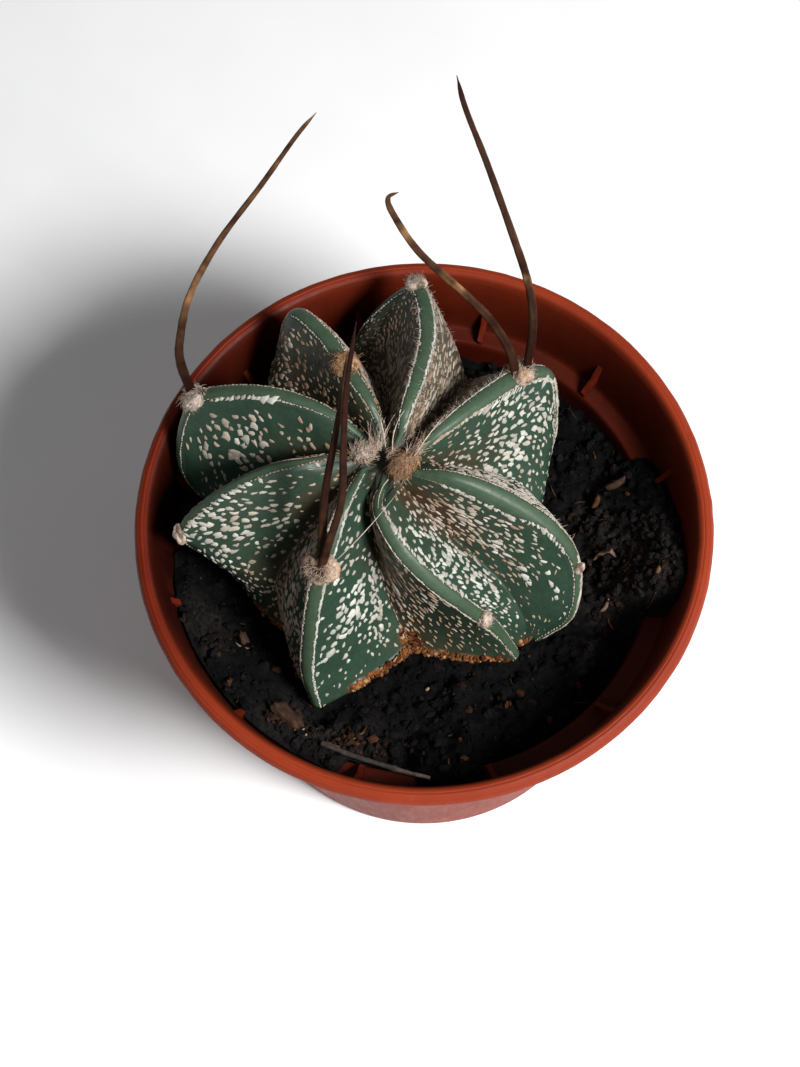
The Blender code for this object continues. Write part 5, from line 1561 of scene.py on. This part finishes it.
def fleck_group(name, grid, places, draw, settings):
    """Rings, tops, undersides and tints of one flank's flecks, its crest's fine line and its bead rows.

    Flecks are thickest, largest and palest round one place of the flank, as a bell curve, and in seeded
    patches; they are browner near the crown and the furrow.
    """
    look = Flank(*FLANK_LOOKS[name])
    half = FINE_CREST // 2
    normals = flank_normals(grid)
    row, column = scattered(grid, 0.8 * look.length * look.slim**0.6 * MM, (0.9 / look.slim)**0.6, draw)
    count = len(row)
    place = np.interp(row, range(len(places)), places)
    share = (column - half) / (grid.shape[1] - 1 - half)
    past = column - edge_columns(name, place)
    patch = rough(on_grid(grid, row, column), 3.4 * MM, 81, 2)
    near = np.exp(-((place - look.place) / look.reach)**2 - ((share - look.share) / 0.45)**2)
    thick = look.thin + (1.0 - look.thin) * np.clip(1.35 * near, 0, 1)
    fade = smooth(-0.7, 1.3, place) * (1 - 0.3 * smooth(4.4, 5.6, place))
    size = (0.5 * look.length * MM * fade * (0.58 + 0.44 * near + 0.14 * patch)
            * draw.uniform(0.62, 1.38, count) * settings.fleck_scale)
    width = size * look.slim * draw.uniform(0.8, 1.4, count)
    turns = math.radians(look.turn) + draw.normal(0.0, 0.6 * look.slim, count)
    # Low paleness on flanks that face away from the light is partly painted shade
    tan = (1.05 - look.paleness + 0.24 * (1 - near) - 0.16 * patch + look.brown * 0.4 * share
           + 0.35 * (1 - smooth(0.6, 2.6, place)) + 0.3 * smooth(5.2, 5.9, place)
           + draw.normal(0, 0.13, count))
    bare = 0.9 + BARE_STRIP.get(name, 0.0) * (1 - 0.5 * smooth(3.6, 4.6, place))
    kept = (draw.uniform(0, 1, count) < thick * (1 + 0.45 * patch)) & (past > bare) & (size > 0.16 * MM)
    kept &= (place < 5.7) | (share < 0.25)
    parts = [(row, column, size, width, turns, tan, kept)]
    crest = np.linalg.norm(np.diff(grid[:, half], axis=0), axis=-1)
    travelled = np.concatenate([[0.0], np.cumsum(crest)])
    lines = [(0.0, 6.0, 0.0, look.edge_length, look.edge_spacing, 0.38, 0.0, look.edge_paleness)]
    lines += [bead[1:] for bead in BEAD_ROWS if bead[0] == name]
    for first, last, offset, length, spacing, slim, turn, paleness in lines:
        start, stop = np.interp((first, last), places, travelled)
        steps = np.arange(max(start, 1.0 * MM), stop, spacing * MM)
        count = len(steps)
        steps = steps + draw.normal(0, 0.10, count) * spacing * MM
        row = np.interp(steps, travelled, range(len(travelled)))
        place = np.interp(row, range(len(places)), places)
        loose = 0.12 + 0.13 * max(offset - 2.0, 0.0)
        column = edge_columns(name, place) + offset + draw.normal(0, loose, count)
        swell = 1 + 0.35 * rough(on_grid(grid, row, column), 2.2 * MM, 83, 2)
        fade = smooth(-0.4, 0.8, place) * (1 - 0.3 * smooth(4.4, 5.8, place))
        size = 0.5 * length * MM * fade * swell * draw.uniform(0.75, 1.25, count) * settings.fleck_scale
        width = size * slim * draw.uniform(0.75, 1.25, count)
        turns = math.radians(turn) + draw.normal(0.0, 0.16, count)
        tan = 1.05 - paleness + draw.normal(0, 0.13, count) + 0.3 * (1 - smooth(0.4, 2.0, place))
        parts.append((row, column, size, width, turns, tan, size > 0.12 * MM))
    row, column, size, width, turns, tan, kept = (np.concatenate(values) for values in zip(*parts))
    row, column, size, width, turns, tan = (
        values[kept] for values in (row, column, size, width, turns, tan))
    lift = settings.fleck_height * draw.uniform(0.7, 1.3, len(row))
    rings, top, under = fleck_rows(grid, normals, row, column, size, width, turns, lift, draw)
    shade = mixed(settings.fleck_pale, settings.fleck_tan, np.clip(tan, 0, 1))
    return rings, top, under, shade * draw.uniform(0.68, 1.08, (len(row), 1))


class CACTUS_OT_cork(bpy.types.Operator):
    """Add the ragged cork along the foot and in the deepest furrow"""
    bl_idname = "cactus.add_cork"
    bl_label = "Cork"

    def execute(self, context):
        settings = context.scene.cactus_plant
        rows, places, _ = fine_body()
        columns = flank_columns()
        draw = np.random.default_rng(CORK_SEED)
        half = FINE_CREST // 2
        middles, sizes = [], []
        for name, first, last, low, high, count, size in CORK_BITS:
            grid = rows[:, columns[name]]
            row = np.interp(draw.uniform(first, last, count), places, range(len(places)))
            column = half + draw.uniform(low, high, count) * (grid.shape[1] - 1 - half)
            outward = on_grid(flank_normals(grid), row, column)
            sunk = draw.uniform(-0.14, 0.08, (count, 1)) * MM
            middles.append(on_grid(grid, row, column) + sunk * outward)
            sizes.append(size * MM * draw.uniform(0.5, 1.15, count))
        middles, sizes = np.concatenate(middles), np.concatenate(sizes)
        burnt, cork = np.array(settings.cork) * (0.16, 0.10, 0.10), np.array(settings.cork)
        tint = mixed(burnt, cork, np.clip(0.22 + 0.5 * rough(middles, 1.6 * MM, 152, 2)
                                          + draw.normal(0, 0.22, len(middles)), 0, 1))
        tint = mixed(tint, PALE_CORK, np.where(draw.uniform(0, 1, len(middles)) > 0.92, 0.6, 0.0))
        finish = tinted_material("cork", 2400.0, 0.45, 0.92, 0.8, 0.12 * MM, gloss=0.1)
        add_skin("cork_bits", crumb_rows(middles, sizes, draw, spread=(0.25, 1.6)), finish, "cactus_skin",
                 colours=tint[:, None, None])
        return {"FINISHED"}


class CACTUS_OT_wool(bpy.types.Operator):
    """Add the woolly pads on the ribs and the tufts at the crown"""
    bl_idname = "cactus.add_wool"
    bl_label = "Wool"

    def execute(self, context):
        settings = context.scene.cactus_wool
        finish = wool_material("areole_wool")
        areoles = {"rib_" + rib: (pad_frame(rib, station), *looks)
                   for rib, (station, *looks) in WOOL_PADS.items()}
        for side, (place, *looks, bearing) in CROWN_TUFTS.items():
            turn = math.radians(bearing)
            axes = ((math.cos(turn), math.sin(turn), 0), (-math.sin(turn), math.cos(turn), 0), (0, 0, 1))
            areoles["crown_" + side] = ((np.array(place) * MM, *np.array(axes)), *looks)
        roots = np.array([stations[0] for stations, _ in SPINES.values()]) * MM
        for at, (key, ((middle, *axes), half_sizes, gold, hairiness, comb)) in enumerate(areoles.items()):
            slack = 1.0 if hairiness else 0.8
            rows, hollow = dome_rows(middle, axes, np.array(half_sizes) * slack, PAD_SEED + 3 * at)
            tint = wool_tints(gold + 0.30 * rough(rows, 0.9 * MM, PAD_TINT_SEED + at, 2), settings)
            # Painted shade in the creases between the locks
            tint = mixed(tint, np.array(settings.gold) * 0.16, 0.85 * hollow)
            away = np.linalg.norm(rows[..., None, :] - roots, axis=-1).min(axis=-1)
            tint = mixed(tint, SPINE_STAIN, 0.9 * np.exp(-(away / (1.25 * MM))**2))
            add_skin("wool_pad_" + key, rows, finish, "areole_wool", "wool_" + key, colours=tint)
            count = int(settings.hair_count * hairiness)
            if count:
                draw = np.random.default_rng(PAD_HAIR_SEED + at)
                rows, share = pad_hairs(middle, np.array(axes), half_sizes, comb, count, draw, settings)
                tint = wool_tints(gold * 0.8 + 0.2 * share + draw.normal(0, 0.22, count), settings)
                add_skin("wool_hairs_" + key, rows, finish, "areole_wool", colours=tint[:, None, None])
        return {"FINISHED"}


def wool_tints(shares, settings):
    """Colours from cream to golden wool, by shares that are held between zero and one."""
    return mixed(settings.cream, settings.gold, np.clip(shares, 0, 1))


def wool_material(name):
    """Matted wool: the mesh's tint with a coarse and a fine grain, dull, with a faint sheen."""
    return tinted_material(name, 2600.0, 0.5, 0.95, 0.9, 0.2 * MM, sheen=0.1, gloss=0.1)


def pad_hairs(middle, axes, half_sizes, comb, count, draw, settings):
    """Hairs that start on a pad and lie combed over it; also how far down the pad each one starts.

    A hair leaves along the pad's outward direction times 0.45, plus the comb's part that lies along the
    surface, plus a seeded turn, and curls the same way.
    """
    outward = unit(draw.normal(0, 1, (count, 3)) + np.array((0, 0, 0.9)))
    root = outward * np.array(half_sizes) * MM * 0.82
    comb = np.array(comb) - (np.array(comb) * outward).sum(axis=1, keepdims=True) * outward
    direction = unit(0.45 * outward + 0.9 * comb + 0.38 * draw.normal(0, 1, (count, 3))) @ axes
    length = settings.hair_length * draw.uniform(0.6, 1.4, count) * (0.5 + 0.28 * half_sizes[2])
    droop = (0.35 * draw.normal(0, 1, (count, 3)) - 0.30 * outward + 0.3 * comb) @ axes
    width = draw.uniform(0.07, 0.14, count) * MM
    return hair_rows(middle + root @ axes, direction, length, width, droop), 1.0 - outward[:, 2]


class CACTUS_OT_hairs(bpy.types.Operator):
    """Add the fuzz on the skin, the loose bristles and the fans of hairs at the crown"""
    bl_idname = "cactus.add_hairs"
    bl_label = "Fuzz and bristles"

    def execute(self, context):
        settings = context.scene.cactus_wool
        draw = np.random.default_rng(FUZZ_SEED)
        finish = wool_material("crest_fuzz")
        rows, shares = fuzz_hairs(draw)
        add_skin("crest_fuzz", rows, finish, "areole_wool",
                 colours=wool_tints(shares, settings)[:, None, None])
        add_skin("pale_bristles", bristle_rows(), finish, "areole_wool", colours=np.array(settings.cream))
        rows, shares = fan_hairs(draw)
        add_skin("crown_hairs", rows, finish, "areole_wool",
                 colours=wool_tints(shares, settings)[:, None, None])
        return {"FINISHED"}


def fuzz_hairs(draw):
    """Short hairs that lie over the skin, and the share of golden wool in each."""
    rows, places, _ = fine_body()
    columns = flank_columns()
    hairs, shares = [], []
    for name, first, last, low, high, count, gold in FUZZ:
        grid = rows[:, columns[name]]
        row = np.interp(draw.uniform(first, last, count), places, range(len(places)))
        column = draw.uniform(low, high, count)
        outward = on_grid(flank_normals(grid), row, column)
        direction = unit(0.55 * outward + 0.5 * draw.normal(0, 1, (count, 3)))
        length = draw.uniform(0.45, 1.05, count) * MM
        droop = 0.35 * draw.normal(0, 1, (count, 3)) - 0.35 * outward
        roots = on_grid(grid, row, column) - 0.05 * MM * outward
        hairs.append(hair_rows(roots, direction, length, draw.uniform(0.06, 0.11, count) * MM, droop))
        shares.append(gold + draw.normal(0, 0.2, count))
    return np.concatenate(hairs), np.concatenate(shares)


def bristle_rows():
    """Five-sided bristles along curves through their stations, narrowing to the tip."""
    bristles = []
    for stations in BRISTLES:
        way = np.linspace(0, len(stations) - 1, 24)
        points, along = curve_through(np.array(stations) * MM, way)
        half = 0.085 * MM * (1.1 - 0.8 * way / way[-1])[:, None, None]
        ring = circles(along, HAIR_SIDE, even_angles(5))
        bristles.append(points[:, None] + half * ring)
    return np.stack(bristles)


def fan_hairs(draw):
    """Longer hairs that leave each root in a fan, and the share of golden wool in each."""
    hairs, shares = [], []
    for root, direction, count, length, gold in FANS:
        roots = np.array(root) * MM + draw.normal(0, 0.45, (count, 3)) * MM
        direction = unit(np.array(direction) + 0.22 * draw.normal(0, 1, (count, 3)))
        lengths = length * MM * draw.uniform(0.5, 1.15, count)
        widths = draw.uniform(0.08, 0.16, count) * MM
        droop = 0.22 * draw.normal(0, 1, (count, 3)) - np.array((0, 0, 0.25))
        hairs.append(hair_rows(roots, direction, lengths, widths, droop, 6))
        shares.append(gold + draw.normal(0, 0.25, count))
    return np.concatenate(hairs), np.concatenate(shares)


class CACTUS_OT_spines(bpy.types.Operator):
    """Add the long flattened spines in place of the plain ones"""
    bl_idname = "cactus.add_spines"
    bl_label = "Spines"

    def execute(self, context):
        settings = context.scene.cactus_spines
        finish = tinted_material("spine_horn", 1100.0, 0.45, 0.6, 0.5, 0.12 * MM, (1.0, 1.0, 0.18),
                                 gloss=0.07)
        for name, (stations, zones) in SPINES.items():
            rows, share = spine_rows(stations, settings)
            places, tans = np.array(zones).T
            tan = np.interp(share, places, tans)[:, None]
            tan = np.clip(tan * (1 + 0.8 * rough(rows, 1.6 * MM, 111, 2)), 0, 1)
            add_skin("horn_" + name, rows, finish, "spine_horn", "spine_" + name,
                     colours=mixed(settings.dark, settings.tan, tan))
        return {"FINISHED"}


class CACTUS_OT_litter(bpy.types.Operator):
    """Add the dry twig and the bark chips in place of the plain ones"""
    bl_idname = "cactus.add_litter"
    bl_label = "Twig and bark"

    def execute(self, context):
        settings = context.scene.cactus_soil
        rows, pale = twig_rows()
        finish = tinted_material("dry_twig", 1500.0, 0.5, 0.8, 0.6, 0.12 * MM, (0.4, 1.0, 1.0))
        add_skin("dry_twig", rows, finish, "dry_wood", "twig",
                 colours=mixed(TWIG_DARK, settings.straw, 0.55 * pale))
        finish = tinted_material("bark_flake", 1300.0, 0.5, 0.88, 0.8, 0.2 * MM, (1.0, 0.35, 1.0))
        for at, (name, (place, half_sizes, bearing)) in enumerate(BARK_CHIPS.items()):
            rows = chip_rows(place, half_sizes, bearing, CHIP_SEED + at)
            add_skin(name.replace("chip", "flake"), rows, finish, "bark", name,
                     colours=np.array(settings.bark) * (0.42, 0.46, 0.55))
        return {"FINISHED"}


def twig_rows():
    """Rings along the twig, thinner to its end, with one knot; and how pale each point is."""
    places = np.linspace(0, len(TWIG_POINTS) - 1, 90)
    points, along = curve_through(np.array(TWIG_POINTS) * MM, places)
    share = (places / places[-1])[:, None, None]
    radius = 0.44 * MM * (1 - 0.35 * share) * (1 + 0.5 * np.exp(-((share - 0.62) / 0.03)**2))
    rows = points[:, None] + radius * circles(along, UPWARD, even_angles(14))
    rows = rows + 0.07 * MM * rough(rows, 0.7 * MM, 121, 2)[..., None] * unit(rows - points[:, None])
    ragged = 0.25 * rough(rows, 1.5 * MM, 122)
    return rows, smooth(0.5, 1.0, np.clip(share[..., 0] + ragged, 0, 1))


def chip_rows(place, half_sizes, bearing, seed):
    """A worn flake on the soil's slope: a block with rounded sides, split by grain along its length.

    A point at angles u and v lies at the half sizes times the signed power 0.6 of a ball's place.
    """
    x, y = place[0] * MM, place[1] * MM
    step = 0.5 * MM
    heights = soil_height(np.array([x, x + step, x]), np.array([y, y, y + step]))
    up = unit(np.array((heights[0] - heights[1], heights[0] - heights[2], step)))
    heading = math.radians(bearing)
    along = np.array((math.cos(heading), math.sin(heading), 0.0))
    along = unit(along - along.dot(up) * up)
    axes = np.stack([along, np.cross(up, along), up])
    rise = np.linspace(0.06, math.pi - 0.06, 22)[:, None]
    turn = even_angles(40)[None]
    ball = np.stack([np.cos(rise) + 0 * turn, np.sin(rise) * np.cos(turn), np.sin(rise) * np.sin(turn)],
                    axis=-1)
    block = np.sign(ball) * np.abs(ball)**0.6 * np.array(half_sizes) * MM
    grain = rough(block * (0.25, 1.0, 1.0), 0.35 * MM, seed, 2)
    block = block * (1 + 0.28 * rough(block, 1.3 * MM, seed + 2, 2)[..., None])
    block = block + 0.22 * MM * grain[..., None] * unit(block)
    lift = CHIP_LIFT + half_sizes[2] * MM
    return np.array((x, y, heights[0])) + lift * up + block @ axes


class CACTUS_PT_panel(bpy.types.Panel):
    """Buttons for the pieces, in the order in which they are added"""
    bl_label = "Goats horn cactus"
    bl_idname = "CACTUS_PT_panel"
    bl_space_type = "VIEW_3D"
    bl_region_type = "UI"
    bl_category = "Cactus"

    def draw(self, context):
        for operator in OPERATORS:
            self.layout.operator(operator.bl_idname)
        for name in SETTINGS:
            group = getattr(context.scene, name)
            box = self.layout.box()
            for key in group.__annotations__:
                box.prop(group, key)


OPERATORS = (
    CACTUS_OT_stage, CACTUS_OT_pot, CACTUS_OT_soil, CACTUS_OT_crumbs, CACTUS_OT_body, CACTUS_OT_flecks,
    CACTUS_OT_cork, CACTUS_OT_wool, CACTUS_OT_hairs, CACTUS_OT_spines, CACTUS_OT_litter,
)
SETTINGS = {
    "cactus_stage": CactusStageSettings,
    "cactus_pot": CactusPotSettings,
    "cactus_soil": CactusSoilSettings,
    "cactus_plant": CactusPlantSettings,
    "cactus_wool": CactusWoolSettings,
    "cactus_spines": CactusSpineSettings,
}


def register():
    for settings in SETTINGS.values():
        bpy.utils.register_class(settings)
    for operator in (*OPERATORS, CACTUS_PT_panel):
        bpy.utils.register_class(operator)
    for name, settings in SETTINGS.items():
        setattr(bpy.types.Scene, name, bpy.props.PointerProperty(type=settings))


def unregister():
    for name in SETTINGS:
        delattr(bpy.types.Scene, name)
    for operator in (CACTUS_PT_panel, *reversed(OPERATORS)):
        bpy.utils.unregister_class(operator)
    for settings in reversed(SETTINGS.values()):
        bpy.utils.unregister_class(settings)


def main():
    """Add the stage and every piece."""
    register()
    bpy.ops.cactus.add_stage()
    bpy.ops.cactus.add_pot()
    bpy.ops.cactus.add_soil()
    bpy.ops.cactus.add_crumbs()
    bpy.ops.cactus.add_body()
    bpy.ops.cactus.add_flecks()
    bpy.ops.cactus.add_cork()
    bpy.ops.cactus.add_wool()
    bpy.ops.cactus.add_hairs()
    bpy.ops.cactus.add_spines()
    bpy.ops.cactus.add_litter()


if __name__ == "__main__":
    main()
